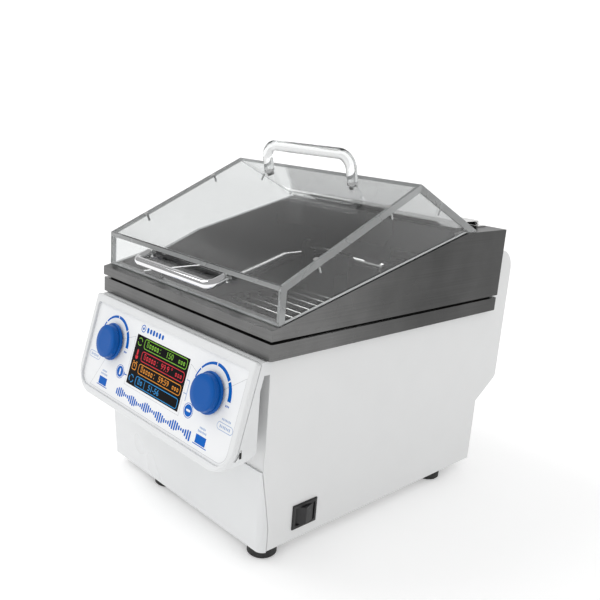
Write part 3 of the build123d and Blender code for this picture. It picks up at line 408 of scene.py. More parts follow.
def cloud_group(name):
    """Slow, uneven patches between two values, for roughness and tone."""
    number = "NodeSocketFloat"
    tree, inlet, outlet = group_tree(name, [("Scale", number, 9.0), ("Low", number, 0.3),
                                            ("High", number, 0.4)],
                                     [("Value", number)])
    coordinates = add_node(tree, "ShaderNodeTexCoord")
    noise = add_node(tree, "ShaderNodeTexNoise")
    noise.inputs["Detail"].default_value = 3.0
    spread = add_node(tree, "ShaderNodeMapRange")
    spread.inputs["From Min"].default_value = 0.3
    spread.inputs["From Max"].default_value = 0.7
    link(coordinates, "Object", noise, "Vector")
    link(inlet, "Scale", noise, "Scale")
    link(noise, "Fac", spread, "Value")
    link(inlet, "Low", spread, "To Min")
    link(inlet, "High", spread, "To Max")
    link(spread, "Result", outlet, "Value")
    return tree


def tone_group(name):
    """A colour that darkens a little where the mask is high."""
    number, colour = "NodeSocketFloat", "NodeSocketColor"
    tree, inlet, outlet = group_tree(name, [("Colour", colour, (0.8, 0.8, 0.8, 1)), ("Mask", number, 0.5),
                                                      ("Spread", number, 0.05)], [("Colour", colour)])
    amount = add_node(tree, "ShaderNodeMath", operation="MULTIPLY")
    invert = add_node(tree, "ShaderNodeMath", operation="SUBTRACT")
    invert.inputs[0].default_value = 1.0
    scale = add_node(tree, "ShaderNodeVectorMath", operation="SCALE")
    link(inlet, "Mask", amount, 0)
    link(inlet, "Spread", amount, 1)
    link(amount, 0, invert, 1)
    link(inlet, "Colour", scale, 0)
    link(invert, 0, scale, "Scale")
    link(scale, 0, outlet, "Colour")
    return tree


def painted_sheen_group(name):
    """Painted sheen: a colour made stronger at the front of the bath than at its rear, for the reflections on
    the steel.
    """
    number, colour = "NodeSocketFloat", "NodeSocketColor"
    tree, inlet, outlet = group_tree(name, [("Colour", colour, (0.8, 0.8, 0.8, 1)), ("Front", number, 1.0),
                                                       ("Rear", number, 1.0)], [("Colour", colour)])
    coordinates = add_node(tree, "ShaderNodeTexCoord")
    split = add_node(tree, "ShaderNodeSeparateXYZ")
    spread = add_node(tree, "ShaderNodeMapRange", interpolation_type="SMOOTHSTEP")
    spread.inputs["From Min"].default_value = -0.20
    spread.inputs["From Max"].default_value = 0.06
    scale = add_node(tree, "ShaderNodeVectorMath", operation="SCALE")
    link(coordinates, "Object", split, 0)
    link(split, "Y", spread, "Value")
    link(inlet, "Front", spread, "To Min")
    link(inlet, "Rear", spread, "To Max")
    link(inlet, "Colour", scale, 0)
    link(spread, "Result", scale, "Scale")
    link(scale, 0, outlet, "Colour")
    return tree


def peel_group(name):
    """Fine, soft unevenness of a sprayed or moulded skin."""
    number = "NodeSocketFloat"
    tree, inlet, outlet = group_tree(name, [("Scale", number, 900.0), ("Strength", number, 0.1)],
                                     [("Normal", "NodeSocketVector")])
    coordinates = add_node(tree, "ShaderNodeTexCoord")
    noise = add_node(tree, "ShaderNodeTexNoise")
    noise.inputs["Detail"].default_value = 2.0
    bump = add_node(tree, "ShaderNodeBump")
    bump.inputs["Distance"].default_value = 0.0002
    link(coordinates, "Object", noise, "Vector")
    link(inlet, "Scale", noise, "Scale")
    link(noise, "Fac", bump, "Height")
    link(inlet, "Strength", bump, "Strength")
    link(bump, "Normal", outlet, "Normal")
    return tree


def grain_group(name):
    """Brushed grain: level lines on upright sheets, cross lines on flat ones."""
    number = "NodeSocketFloat"
    tree, inlet, outlet = group_tree(name, [("Along", number, 6.0), ("Across", number, 800.0),
                                                       ("Strength", number, 0.1)],
                                     [("Streak", number), ("Normal", "NodeSocketVector")])
    coordinates = add_node(tree, "ShaderNodeTexCoord")
    streaks = []
    for axes in ("xxz", "xyx"):
        stretch = add_node(tree, "ShaderNodeCombineXYZ")
        for socket, axis in zip(stretch.inputs, axes):
            fast = (axis == "z") or (axes == "xyx" and axis == "y")
            tree.links.new(inlet.outputs["Across" if fast else "Along"], socket)
        scaled = add_node(tree, "ShaderNodeVectorMath", operation="MULTIPLY")
        link(coordinates, "Object", scaled, 0)
        link(stretch, 0, scaled, 1)
        noise = add_node(tree, "ShaderNodeTexNoise")
        noise.inputs["Scale"].default_value = 1.0
        noise.inputs["Detail"].default_value = 3.0
        link(scaled, 0, noise, "Vector")
        streaks.append(noise)
    split = add_node(tree, "ShaderNodeSeparateXYZ")
    link(coordinates, "Normal", split, 0)
    upright = add_node(tree, "ShaderNodeMath", operation="ABSOLUTE")
    link(split, "Z", upright, 0)
    flat = add_node(tree, "ShaderNodeMath", operation="GREATER_THAN")
    flat.inputs[1].default_value = 0.7
    link(upright, 0, flat, 0)
    choose = add_node(tree, "ShaderNodeMix")
    link(flat, 0, choose, "Factor")
    link(streaks[0], "Fac", choose, "A")
    link(streaks[1], "Fac", choose, "B")
    bump = add_node(tree, "ShaderNodeBump")
    bump.inputs["Distance"].default_value = 0.0002
    link(choose, "Result", bump, "Height")
    link(inlet, "Strength", bump, "Strength")
    link(choose, "Result", outlet, "Streak")
    link(bump, "Normal", outlet, "Normal")
    return tree


GROUPS = {"patches": cloud_group, "toned colour": tone_group, "front to rear": painted_sheen_group,
          "fine skin": peel_group, "brushed grain": grain_group}


# ------------------------------------------------------------------ materials
FINISHES = {}


def new_surface(name, **values):
    """Material with its Principled shader's own sockets set; keys are socket names with _ for spaces."""
    made = bpy.data.materials.new("bath_" + name)
    made.use_nodes = True
    shader = made.node_tree.nodes["Principled BSDF"]
    for key, value in values.items():
        socket = shader.inputs[key.replace("_", " ")]
        socket.default_value = (*value, 1.0) if isinstance(value, tuple) else value
    return made, made.node_tree, shader


def use_group(tree, name, **values):
    """Node that runs the shader group of that name, built when it is first used, with its own values."""
    group = bpy.data.node_groups.get(name) or GROUPS[name](name)
    node = add_node(tree, "ShaderNodeGroup", node_tree=group)
    for key, value in values.items():
        node.inputs[key].default_value = (*value, 1.0) if isinstance(value, tuple) else value
    return node


def skin_surface(name, colour, low, high, bump=0.06, scale=900.0, spread=0.05, patch=9.0, **values):
    """Painted, moulded or rubber skin: patches in tone and gloss over a fine uneven skin."""
    made, tree, shader = new_surface(name, **values)
    patches = use_group(tree, "patches", Scale=patch, Low=low, High=high)
    mask = use_group(tree, "patches", Scale=patch * 2.3, Low=0.0, High=1.0)
    tone = use_group(tree, "toned colour", Colour=colour, Spread=spread)
    peel = use_group(tree, "fine skin", Scale=scale, Strength=bump)
    link(patches, "Value", shader, "Roughness")
    link(mask, "Value", tone, "Mask")
    link(tone, "Colour", shader, "Base Color")
    link(peel, "Normal", shader, "Normal")
    return made


def metal_surface(name, colour, low, high, along=6.0, across=900.0, bump=0.08, spread=0.25, depth=None):
    """Bare metal with a brushed grain in its tone and relief, softer patches in its gloss, and, where gains are
    given, a painted sheen brighter at the front than at the rear.
    """
    made, tree, shader = new_surface(name, Metallic=1.0)
    grain = use_group(tree, "brushed grain", Along=along, Across=across, Strength=bump)
    patches = use_group(tree, "patches", Scale=7.0, Low=low, High=high)
    tone = use_group(tree, "toned colour", Colour=colour, Spread=spread)
    link(grain, "Streak", tone, "Mask")
    # painted sheen: random mottle, then the colour scaled up at the front and down at the rear, for the
    # reflections on the steel
    if depth:
        clouds = use_group(tree, "patches", Scale=22.0, Low=0.0, High=1.0)
        mottle = use_group(tree, "toned colour", Spread=0.22)
        painted_sheen = use_group(tree, "front to rear", Front=depth[0], Rear=depth[1])
        link(tone, "Colour", mottle, "Colour")
        link(clouds, "Value", mottle, "Mask")
        link(mottle, "Colour", painted_sheen, "Colour")
        tone = painted_sheen
    link(tone, "Colour", shader, "Base Color")
    link(patches, "Value", shader, "Roughness")
    link(grain, "Normal", shader, "Normal")
    return made


def lit_surface(name, colour, strength):
    """Glowing element of the display, slightly uneven like a real panel."""
    made, tree, shader = new_surface(name, Base_Color=(0.0, 0.0, 0.0), Roughness=0.5,
                                     Emission_Strength=strength)
    mask = use_group(tree, "patches", Scale=120.0, Low=0.0, High=1.0)
    tone = use_group(tree, "toned colour", Colour=colour, Spread=0.25)
    link(mask, "Value", tone, "Mask")
    link(tone, "Colour", shader, "Emission Color")
    return made


def clear_surface(name, colour, low, high, through=1.0):
    """Clear acrylic sheet with faint wipe marks in its gloss."""
    made, tree, shader = new_surface(name, Base_Color=colour, IOR=1.49, Transmission_Weight=through,
                                     Specular_IOR_Level=0.12)
    patches = use_group(tree, "patches", Scale=14.0, Low=low, High=high)
    link(patches, "Value", shader, "Roughness")
    # light passes straight through, so what is behind the sheet is lit
    rays = add_node(tree, "ShaderNodeLightPath")
    passing = add_node(tree, "ShaderNodeMath", operation="MAXIMUM")
    straight = add_node(tree, "ShaderNodeBsdfTransparent")
    straight.inputs["Color"].default_value = (*colour, 1.0)
    either = add_node(tree, "ShaderNodeMixShader")
    link(rays, "Is Shadow Ray", passing, 0)
    link(rays, "Is Diffuse Ray", passing, 1)
    link(passing, 0, either, "Fac")
    link(shader, 0, either, 1)
    link(straight, 0, either, 2)
    link(either, 0, tree.nodes["Material Output"], "Surface")
    return made


def surface(name):
    """The finished material of that name, made when it is first asked for."""
    if name not in FINISHES:
        FINISHES[name] = make_surface(name)
    return FINISHES[name]


# Each finish has its colour, or the setting that holds it, its lowest and highest roughness and its pattern
SKINS = {
    "white_paint": dict(colour="paint_colour", low=0.34, high=0.44, bump=0.05, scale=700.0, spread=0.02),
    "white_plastic": dict(colour="moulding_colour", low=0.26, high=0.34, bump=0.03, scale=1400.0, spread=0.02),
    "printed_film": dict(colour="film_colour", low=0.30, high=0.38, bump=0.03, scale=2500.0, spread=0.015),
    "blue_plastic": dict(colour="knob_colour", low=0.26, high=0.34, bump=0.04, scale=2600.0, spread=0.06,
                         Specular_IOR_Level=0.22),
    "black_plastic": dict(colour=(0.018, 0.018, 0.019), low=0.36, high=0.5, bump=0.12, scale=3000.0,
                          spread=0.2),
    "black_rubber": dict(colour=(0.022, 0.022, 0.022), low=0.6, high=0.75, bump=0.15, scale=2200.0,
                         spread=0.25),
    "grey_rubber": dict(colour=(0.03, 0.03, 0.03), low=0.5, high=0.65, bump=0.1, scale=2200.0, spread=0.2),
    "display_glass": dict(colour=(0.002, 0.002, 0.003), low=0.08, high=0.14, bump=0.0, spread=0.1,
                          Specular_IOR_Level=0.06),
    "circuit_board": dict(colour=(0.01, 0.10, 0.045), low=0.35, high=0.5, bump=0.2, scale=1800.0, spread=0.3),
    "blue_ink": dict(colour="print_colour", low=0.32, high=0.4, bump=0.03, scale=2500.0, spread=0.08,
                     Specular_IOR_Level=0.1),
    "pale_ink": dict(colour=(0.30, 0.42, 0.66), low=0.32, high=0.4, bump=0.03, scale=2500.0, spread=0.08),
    "grey_ink": dict(colour=(0.50, 0.51, 0.52), low=0.35, high=0.45, bump=0.03, scale=2500.0),
}
METALS = {
    # brushed_stainless carries a painted sheen: its colour 1.9 times at the front and 0.75 times at the rear
    "brushed_stainless": dict(colour="steel_colour", low=0.24, high=0.36, spread=0.35, depth=(1.9, 0.75)),
    # tank_steel is the same stainless painted darker: painted shade inside the tank and under the lid
    "tank_steel": dict(colour=(0.05, 0.05, 0.049), low=0.24, high=0.34, spread=0.35),
    "rod_steel": dict(colour=(0.93, 0.93, 0.92), low=0.22, high=0.32, across=1500.0, bump=0.03, spread=0.1),
    "bright_steel": dict(colour=(0.74, 0.74, 0.73), low=0.16, high=0.26, across=1500.0, bump=0.03, spread=0.12),
    "zinc_steel": dict(colour=(0.42, 0.42, 0.41), low=0.30, high=0.45, along=40.0, across=300.0, bump=0.03,
                       spread=0.2),
    "chrome_plate": dict(colour=(0.86, 0.86, 0.87), low=0.04, high=0.09, across=2500.0, bump=0.004,
                         spread=0.02),
}
CLEARS = {
    "clear_acrylic": dict(colour="acrylic_colour", low=0.0, high=0.03),
    "acrylic_edge": dict(colour="acrylic_edge_colour", low=0.2, high=0.32, through=0.5),
}
GLOWS = {
    "glow_green": (0.22, 0.55, 0.03),
    "glow_red": (0.75, 0.012, 0.03),
    "glow_orange": (0.85, 0.30, 0.01),
    "glow_blue": (0.01, 0.30, 0.72),
}


def make_surface(name):
    """Make the material of that name from its row in the lists of finishes."""
    look = bpy.context.scene.bath_look
    if name in GLOWS:
        return lit_surface(name, GLOWS[name], look.display_strength)
    for finishes, build in ((SKINS, skin_surface), (METALS, metal_surface), (CLEARS, clear_surface)):
        if name in finishes:
            values = dict(finishes[name])
            colour = values.pop("colour")
            if isinstance(colour, str):
                colour = tuple(getattr(look, colour))
            return build(name, colour, **values)
    raise ValueError(f"no material is named {name!r}")


# ------------------------------------------------------------------ settings
def colour_setting(name, description, default):
    """Colour that a user may change."""
    return FloatVectorProperty(name=name, description=description, subtype="COLOR", size=3, min=0.0, max=1.0,
                               default=default)


class BathLook(bpy.types.PropertyGroup):
    """Colours, light and fineness of the water bath"""
    paint_colour: colour_setting("Paint", "Powder coat of the panels", (0.78, 0.785, 0.785))
    moulding_colour: colour_setting("Mouldings", "White plastic of the control box and shell",
                                    (0.76, 0.77, 0.775))
    film_colour: colour_setting("Printed film", "Ground colour of the printed film", (0.86, 0.87, 0.88))
    steel_colour: colour_setting("Stainless", "Brushed stainless sheet", (0.118, 0.118, 0.117))
    acrylic_colour: colour_setting("Acrylic", "Tint of the clear lid", (0.90, 0.91, 0.91))
    acrylic_edge_colour: colour_setting("Acrylic edges", "Tint of the sawn plate edges", (0.50, 0.51, 0.51))
    knob_colour: colour_setting("Knobs", "Blue of the two knobs", (0.0, 0.095, 0.40))
    print_colour: colour_setting("Print", "Blue ink on the film", (0.0, 0.12, 0.52))
    floor_colour: colour_setting("Floor", "Colour of the bench top", (0.93, 0.93, 0.93))
    display_strength: FloatProperty(name="Display", description="Brightness of the lit display elements",
                                    min=0.0, max=5.0, default=1.0)
    knob_steps: IntProperty(name="Knob steps", description="Facets round each knob",
                            min=24, max=256, default=96)
    sun_strength: FloatProperty(name="Key light", description="Strength of the soft key light",
                                min=0.0, max=10.0, default=0.6)
    sky_strength: FloatProperty(name="Studio fill", description="Strength of the white surround",
                                min=0.0, max=4.0, default=0.9)
    focal_length: FloatProperty(name="Focal length", description="Lens of the camera in millimetres",
                                min=10.0, max=200.0, default=43.604)


# ------------------------------------------------------------------ body
class BATH_OT_body(bpy.types.Operator):
    """Painted panels, base pan and moulded front shell"""
    bl_idname = "bath.body"
    bl_label = "Body panels"

    def execute(self, context):
        dress("side_panel_left", "side_panel_right", "front_plate", "base_pan", "rear_panel", "front_shell")
        return {"FINISHED"}


class BATH_OT_services(bpy.types.Operator):
    """Mains inlet, drain, feet, their screws and the power board"""
    bl_idname = "bath.services"
    bl_label = "Services and feet"

    def execute(self, context):
        dress("power_inlet", "drain_spigot", "drain_nut", "feet", "inlet_screws", "foot_screws", "power_board")
        return {"FINISHED"}


# ------------------------------------------------------------------ tank and cover
class BATH_OT_tank(bpy.types.Operator):
    """Stainless tank with its rim band, heater, probe and guide shafts"""
    bl_idname = "bath.tank"
    bl_label = "Tank"

    def execute(self, context):
        # painted shade: the tank gets the darker copy of the stainless
        dressed("tank", finish="tank_steel")
        dress("rim_band", "cover_gasket", "heater_element", "heater_glands", "temperature_probe",
              "guide_shafts")
        return {"FINISHED"}


class BATH_OT_cover(bpy.types.Operator):
    """Stainless wedge cover with its rolled lips and the dark pad on its front ledge"""
    bl_idname = "bath.cover"
    bl_label = "Wedge cover"

    def execute(self, context):
        cover = dressed("wedge_cover")
        # painted shade: the inner faces of the right side wall get the darker copy of the stainless
        cover.data.materials.append(surface("tank_steel"))
        for face in cover.data.polygons:
            inward = face.center.x * face.normal.x < 0.0 and abs(face.normal.x) > 0.5
            if inward and face.center.x > 0.0:
                face.material_index = 1
        dressed("ledge_pad")
        return {"FINISHED"}


# ------------------------------------------------------------------ lid
class BATH_OT_lid(bpy.types.Operator):
    """Clear gable lid with its plates, screws and hinge"""
    bl_idname = "bath.lid"
    bl_label = "Clear lid"

    def execute(self, context):
        plates = dress("lid_front_plate", "lid_front_slope", "lid_rear_slope", "lid_side_left",
                       "lid_side_right", shrink=PLATE_SHRINK)
        for plate in plates:
            plate.data.materials.append(surface("acrylic_edge"))
            broad = max(plate.data.polygons, key=lambda face: face.area).normal.copy()
            for face in plate.data.polygons:
                if abs(face.normal.dot(broad)) < 0.8:
                    face.material_index = 1
        dress("lid_screws", "handle_screws", "hinge_leaf_lid", "hinge_leaf_cover", finish="bright_steel")
        dressed("hinge_pin")
        return {"FINISHED"}


class BATH_OT_handles(bpy.types.Operator):
    """Clear top handle and chromed front handle"""
    bl_idname = "bath.handles"
    bl_label = "Handles"

    def execute(self, context):
        dressed("top_handle", shrink=PLATE_SHRINK)
        dressed("front_handle")
        return {"FINISHED"}


# ------------------------------------------------------------------ control box
class BATH_OT_control_box(bpy.types.Operator):
    """Sloped control box with its raised frame, printed film and display"""
    bl_idname = "bath.control_box"
    bl_label = "Control box"

    def execute(self, context):
        dress("control_box", "control_bezel", "fascia_film", "display_window", "control_spacers",
              "control_bolts", "control_board", "display_module", "encoders", "encoder_shaft_left",
              "encoder_shaft_right")
        return {"FINISHED"}


def print_on(name, pieces, ink):
    """Join flat shapes, lay them on the control panel and give them their ink."""
    piece = joined(name, pieces)
    place(piece, panel_matrix(0.0, 0.0, PRINT_LIFT * MM))
    return show(piece, "base", ink)


class BATH_OT_graphics(bpy.types.Operator):
    """Scales, icons and lines printed on the film"""
    bl_idname = "bath.graphics"
    bl_label = "Printed graphics"

    def execute(self, context):
        scales = []
        for side in (-1, 1):
            knob_x = side * KNOB_X
            for start, end in SCALE_PARTS:
                wide = [SCALE_THIN + SCALE_GROWTH * (SCALE_START - a) / SCALE_START for a in (start, end)]
                scales.append(arc_loop(knob_x, -KNOB_S, SCALE_OUTER, start, end, *wide))
            for tick in range(3):
                scales.append(bar_loop(knob_x + 24.0 + DASH_PITCH * tick, -KNOB_S - 4.4, 1.1, 2.0 - 0.2 * tick))
        print_on("scale_marks", [flat_shape("scale_marks", scales)], "blue_ink")

        icons = []
        for side in (-1, 1):
            x, y = side * ROUND_ICON_X, -ROUND_ICON_S
            icons += [circle_loop(x, y, radius) for radius in ROUND_ICON_RINGS]
            icons.append(pill_loop(x, y, 6.6, 2.2, 1.1) if side > 0 else pill_loop(x, y, 2.4, 7.0, 1.2))
            icons.append(bar_loop(side * SCREEN_ICON_X, -SCREEN_ICON_S, 15.5, 8.4))
            icons.append(bar_loop(side * SCREEN_ICON_X, -SCREEN_ICON_S - 5.4, 21.0, 0.8))
        icons += [bar_loop(-51.4, -ROUND_ICON_S, 4.4, 1.0), bar_loop(-54.2, -ROUND_ICON_S, 1.0, 4.2)]
        print_on("push_icons", [flat_shape("push_icons", icons)], "blue_ink")

        # a bracket from the display to the right icon, and rows of dashes for the small words
        lines = [[(49.0, -44.0), (54.6, -44.0), (54.6, -64.2), (53.8, -64.2), (53.8, -44.8), (49.0, -44.8)],
                 bar_loop(51.3, -57.4, 4.6, 0.8)]
        for side in (-1, 1):
            lines += frame_loops(side * PILL_X, -PILL_S, 23.0, 7.4, 3.7, 0.55)
            for row, (s, length) in enumerate(CAPTION_ROWS):
                start = side * SCREEN_ICON_X - length / 2 + 0.9
                lines += dash_row(start, -s, int(length / DASH_PITCH), DASH_PITCH, 1.15, 1.7, 0.4, 2, row + 1)
            lines += dash_row(side * PILL_X - 6.6, -PILL_S, 7, 2.2, 1.2, 2.2, 0.7, 3)
        lines += dash_row(PILL_X - 6.0, -PILL_S + 6.8, 7, DASH_PITCH, 1.1, 1.7, 0.4, 2, 1)
        print_on("label_lines", [flat_shape("label_lines", lines)], "pale_ink")

        strokes = []
        for i in range(STRIP_BARS):
            middle = -STRIP_S + 0.9 * math.sin(i * 0.45)
            tall = 6.6 + 3.6 * math.sin(i * 0.9)
            strokes.append(pill_loop(STRIP_START + STRIP_PITCH * i, middle, 2.3, tall, 1.1))
        print_on("wave_strip", [flat_shape("wave_strip", strokes)], "blue_ink")

        mark = [circle_loop(MARK_X, -MARK_S, radius) for radius in MARK_RINGS]
        for i in range(6):
            mark.append(pill_loop(MARK_X + 8.4 + 5.4 * i, -MARK_S, 3.4, 5.8 - 0.7 * (i % 2), 1.6))
        print_on("round_mark", [flat_shape("round_mark", mark)], "blue_ink")

        show(film_outline("inset_line"), "base", "grey_ink")
        return {"FINISHED"}


def film_outline(name):
    """Thin line that follows the film's own outline a little way in from it."""
    piece = welded_copy("fascia_film", name, whole=True)
    out = panel_matrix().to_3x3() @ Vector((0, 0, 1))
    enter_edit(piece)
    front = max((f for f in bmesh.from_edit_mesh(piece.data).faces if f.normal.dot(out) > 0.99),
                key=lambda f: f.calc_area())
    middle = front.calc_center_median()
    pick_faces(piece, lambda f: (f.calc_center_median() - middle).length > 1e-6 or f.normal.dot(out) < 0.99)
    bpy.ops.mesh.delete(type="FACE")
    bpy.ops.mesh.select_all(action="SELECT")
    bpy.ops.mesh.inset(thickness=OUTLINE_INSET, use_even_offset=True)
    bpy.ops.mesh.select_all(action="INVERT")
    bpy.ops.mesh.delete(type="FACE")
    bpy.ops.mesh.select_all(action="SELECT")
    bpy.ops.mesh.inset(thickness=OUTLINE_LINE, use_even_offset=True)
    bpy.ops.mesh.delete(type="FACE")
    bpy.ops.mesh.select_all(action="SELECT")
    bpy.ops.mesh.extrude_region_move(TRANSFORM_OT_translate={"value": out * OUTLINE_THICK})
    bpy.ops.mesh.select_all(action="SELECT")
    bpy.ops.mesh.normals_make_consistent(inside=False)
    leave_edit()
    return piece


def row_icon(index, y):
    """Icon at the left of a display row: turning arrows, thermometer, clock or a ring of three arcs."""
    x = ROW_ICON_X
    if index in (0, 3):
        starts, span = ((10, 190), 130) if index == 0 else ((25, 145, 265), 85)
        return [arc_loop(x, y, 4.3, start, start + span, 0.9, 0.9, 10) for start in starts]
    if index == 1:
        return [pill_loop(x, y + 1.4, 2.6, 7.0, 1.3), circle_loop(x, y - 3.1, 2.4, 20)]
    return frame_loops(x, y, 8.0, 8.0, 2.0, 0.9) + [
        bar_loop(x, y + 1.0, 0.8, 3.2), bar_loop(x + 0.9, y - 0.6, 2.6, 0.8),
        bar_loop(x - 2.8, y + 5.0, 2.2, 0.9), bar_loop(x + 2.8, y + 5.0, 2.2, 0.9)]


def row_word(count, y):
    """Glyph-like boxes in place of a word, of which the first is taller."""
    loops = []
    for i in range(count):
        x, middle = ROW_WORD_X + 4.6 * i, y - 0.2 + (0.9 if i == 0 else 0.0)
        loops.append(pill_loop(x, middle, 2.9, 6.2 if i == 0 else 4.4, 0.8))
        loops.append(pill_loop(x, middle, 1.5, 4.8 if i == 0 else 2.2, 0.4))
    return loops


class BATH_OT_display(bpy.types.Operator):
    """Lit rows, figures and icons behind the display window"""
    bl_idname = "bath.display"
    bl_label = "Display"

    def execute(self, context):
        for index, (glow, s, figures) in enumerate(DISPLAY_ROWS):
            y, last = -s, index == len(DISPLAY_ROWS) - 1
            loops = frame_loops(ROW_X, y, ROW_WIDE, ROW_HIGH, 3.0, 0.75) + row_word(2 if last else 5, y)
            if last:
                loops.append(bar_loop(-14.8, y, 0.6, 8.6))
            else:
                loops += [circle_loop(-2.2, y + 1.6, 0.6, 12), circle_loop(-2.2, y - 1.9, 0.6, 12)]
            pieces = [flat_shape("row", loops + row_icon(index, y)),
                      digits("figures", figures, 2.0 if last else 14.5, y - 0.2, FIGURE_SIZE)]
            if not last:
                units = [pill_loop(ROW_UNIT_X + 4.0 * i, y - 0.6, 2.4, 3.6, 0.6) for i in range(3)]
                units += [pill_loop(ROW_UNIT_X + 4.0 * i, y - 0.6, 1.1, 1.8, 0.3) for i in range(3)]
                pieces.append(flat_shape("units", units))
            print_on("display_row_" + str(index + 1), pieces, glow)
        return {"FINISHED"}


class BATH_OT_box_slot(bpy.types.Operator):
    """Small dark slot in the right side of the control box"""
    bl_idname = "bath.box_slot"
    bl_label = "Control box slot"

    def execute(self, context):
        low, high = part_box("control_box")
        slot = block("box_slot", (high.x - 0.5 * MM, BOX_SLOT_Y[0] * MM, BOX_SLOT_Z[0] * MM),
                     (high.x + 0.15 * MM, BOX_SLOT_Y[1] * MM, BOX_SLOT_Z[1] * MM))
        enter_edit(slot)
        pick_faces(slot, lambda f: f.normal.x > 0.9)
        bpy.ops.mesh.inset(thickness=0.4 * MM)
        bpy.ops.transform.translate(value=(-0.35 * MM, 0, 0))
        leave_edit()
        round_edges(slot, 0.08 * MM, 2)
        show(slot, "base", "black_rubber")
        return {"FINISHED"}


class BATH_OT_knobs(bpy.types.Operator):
    """Two blue knobs: flat cap, groove and wide skirt"""
    bl_idname = "bath.knobs"
    bl_label = "Knobs"

    def execute(self, context):
        steps = context.scene.bath_look.knob_steps
        cap, skirt, lift, top = 16.8 * MM, 20.2 * MM, 1.6 * MM, 11.6 * MM
        bore = 4.0 * MM
        profile = [(bore, lift + 1.2 * MM), (bore, lift), (skirt - 0.9 * MM, lift), (skirt, lift + 0.9 * MM),
                   (skirt, lift + 2.2 * MM), (skirt - 0.8 * MM, lift + 3.0 * MM),
                   (cap + 1.0 * MM, lift + 3.2 * MM), (cap + 0.9 * MM, lift + 3.9 * MM),
                   (cap + 1.5 * MM, lift + 4.5 * MM),
                   (cap + 0.9 * MM, top - 1.3 * MM), (cap + 0.3 * MM, top - 0.4 * MM), (cap - 0.7 * MM, top),
                   (cap - 6.0 * MM, top - 0.15 * MM)]
        for side, name in ((-1, "left"), (1, "right")):
            knob = turned("knob_" + name + "_cap", profile, steps)
            round_edges(knob, 0.25 * MM, 2, 25.0)
            place(knob, panel_matrix(side * (KNOB_X * MM), KNOB_S * MM))
            show(knob, name + "_knob", "blue_plastic", nodes=["knob_" + name])
        return {"FINISHED"}


class BATH_OT_switch(bpy.types.Operator):
    """Mains rocker switch in its frame"""
    bl_idname = "bath.switch"
    bl_label = "Rocker switch"

    def execute(self, context):
        dress("switch_frame", "switch_rocker")
        return {"FINISHED"}


# ------------------------------------------------------------------ tray and drive
class BATH_OT_tray(bpy.types.Operator):
    """Perforated shaking tray with its rods, straps, slide blocks and drive arm"""
    bl_idname = "bath.tray"
    bl_label = "Shaking tray"

    def execute(self, context):
        # painted shade: tray and straps get the darker copy of the stainless
        dressed("tray", finish="tank_steel")
        dressed("tray_rods", finish="rod_steel")
        dressed("tray_straps", finish="tank_steel")
        dress("slide_blocks", "drive_sleeve", "drive_arm")
        return {"FINISHED"}


class BATH_OT_drive(bpy.types.Operator):
    """Rear housing with the gear motor, its bracket and the crank"""
    bl_idname = "bath.drive"
    bl_label = "Rear drive"

    def execute(self, context):
        dress("drive_housing", "motor_bracket", "gear_motor", "crank_disc")
        return {"FINISHED"}


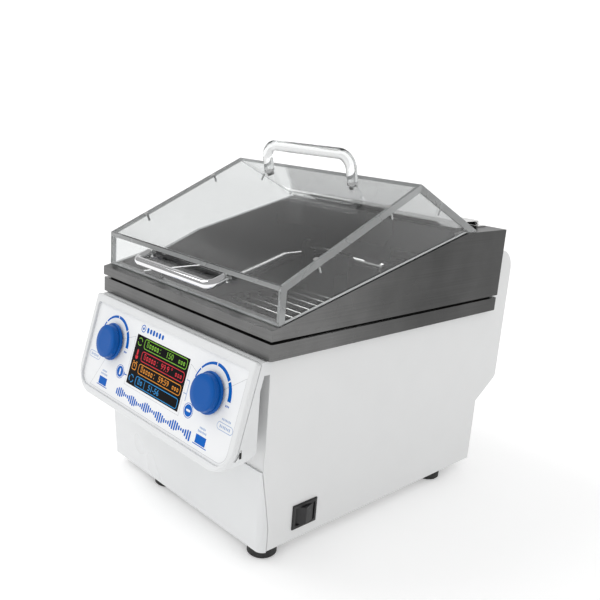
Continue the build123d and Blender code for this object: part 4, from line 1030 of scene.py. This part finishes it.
# ------------------------------------------------------------------ stage
class BATH_OT_stage(bpy.types.Operator):
    """White bench top, soft studio light and the camera"""
    bl_idname = "bath.stage"
    bl_label = "Stage"

    def execute(self, context):
        look = context.scene.bath_look
        clear_selection()
        bpy.ops.mesh.primitive_plane_add(size=FLOOR_SIZE, location=(0, 0, 0))
        floor = bpy.context.object
        floor.name = "bench_top"
        made, tree, shader = new_surface("bench_white", Base_Color=tuple(look.floor_colour), Roughness=0.65,
                                         Specular_IOR_Level=0.1, Emission_Color=(1.0, 1.0, 1.0),
                                         Emission_Strength=FLOOR_GLOW)
        floor.data.materials.append(made)

        world = bpy.data.worlds.new("studio")
        world.use_nodes = True
        context.scene.world = world
        tree = world.node_tree
        back = tree.nodes["Background"]
        back.inputs["Color"].default_value = (1.0, 1.0, 1.0, 1.0)
        level = Vector((math.cos(CAMERA_AZIMUTH), math.sin(CAMERA_AZIMUTH), 0.0))
        away = Vector((level.y, -level.x, 0.0))
        back_axis = away * math.cos(CAMERA_ELEVATION) + Vector((0.0, 0.0, math.sin(CAMERA_ELEVATION)))
        coordinates = add_node(tree, "ShaderNodeTexCoord")
        rays = add_node(tree, "ShaderNodeLightPath")
        values = []
        # soft fill from the left, then the bright backdrop that shiny and clear parts see
        for toward, low, high, dim, bright in ((Vector(FILL_SIDE), -1.0, 0.9, 0.84, 1.02),
                                               (-back_axis, 0.45, 0.85, 0.42, 1.0)):
            facing = add_node(tree, "ShaderNodeVectorMath", operation="DOT_PRODUCT")
            facing.inputs[1].default_value = toward.normalized()
            shade = add_node(tree, "ShaderNodeMapRange", interpolation_type="SMOOTHSTEP")
            for label, value in (("From Min", low), ("From Max", high), ("To Min", dim), ("To Max", bright)):
                shade.inputs[label].default_value = value
            link(coordinates, "Generated", facing, 0)
            link(facing, "Value", shade, "Value")
            values.append(shade)
        seen = add_node(tree, "ShaderNodeMix")
        strength = add_node(tree, "ShaderNodeMath", operation="MULTIPLY")
        strength.inputs[1].default_value = look.sky_strength
        behind = add_node(tree, "ShaderNodeMath", operation="MULTIPLY_ADD")
        behind.inputs[1].default_value = BACKDROP_GAIN
        link(rays, "Is Camera Ray", behind, 0)
        link(values[1], "Result", behind, 2)
        link(rays, "Is Diffuse Ray", seen, "Factor")
        link(behind, 0, seen, "A")
        link(values[0], "Result", seen, "B")
        link(seen, "Result", strength, 0)
        link(strength, 0, back, "Strength")

        clear_selection()
        bpy.ops.object.light_add(type="SUN", location=KEY_PLACE)
        key = bpy.context.object
        key.name = "key_light"
        key.data.energy = look.sun_strength
        key.data.angle = KEY_WIDTH
        key.matrix_world = basis(KEY_PLACE, (0.5, -0.9, 0.0), KEY_AXIS)

        rise = back_axis.cross(level)
        across_axis = level * math.cos(CAMERA_ROLL) + rise * math.sin(CAMERA_ROLL)
        clear_selection()
        bpy.ops.object.camera_add()
        camera = bpy.context.object
        camera.name = "camera"
        camera.matrix_world = basis(CAMERA_PLACE, across_axis, back_axis)
        camera.data.lens = look.focal_length
        camera.data.sensor_width = 36.0
        context.scene.camera = camera
        context.scene.view_settings.view_transform = "Standard"
        return {"FINISHED"}


class BATH_PT_panel(bpy.types.Panel):
    """Colours, light and the steps that build the water bath"""
    bl_idname = "BATH_PT_panel"
    bl_label = "Water Bath"
    bl_space_type = "VIEW_3D"
    bl_region_type = "UI"
    bl_category = "Water Bath"

    def draw(self, context):
        look = context.scene.bath_look
        for name in BathLook.__annotations__:
            self.layout.prop(look, name)
        for step in STEPS:
            self.layout.operator(step.bl_idname)


STEPS = (BATH_OT_stage, BATH_OT_body, BATH_OT_services, BATH_OT_tank, BATH_OT_cover, BATH_OT_lid,
         BATH_OT_handles, BATH_OT_control_box, BATH_OT_graphics, BATH_OT_display, BATH_OT_box_slot,
         BATH_OT_knobs, BATH_OT_switch, BATH_OT_tray, BATH_OT_drive)
CLASSES = (BathLook, *STEPS, BATH_PT_panel)


def register():
    for item in CLASSES:
        bpy.utils.register_class(item)
    bpy.types.Scene.bath_look = PointerProperty(type=BathLook)


def unregister():
    del bpy.types.Scene.bath_look
    for item in reversed(CLASSES):
        bpy.utils.unregister_class(item)


def main():
    """Build the water bath step by step."""
    register()
    for step in STEPS:
        group, name = step.bl_idname.split(".")
        getattr(getattr(bpy.ops, group), name)()


if __name__ == "__main__":
    main()
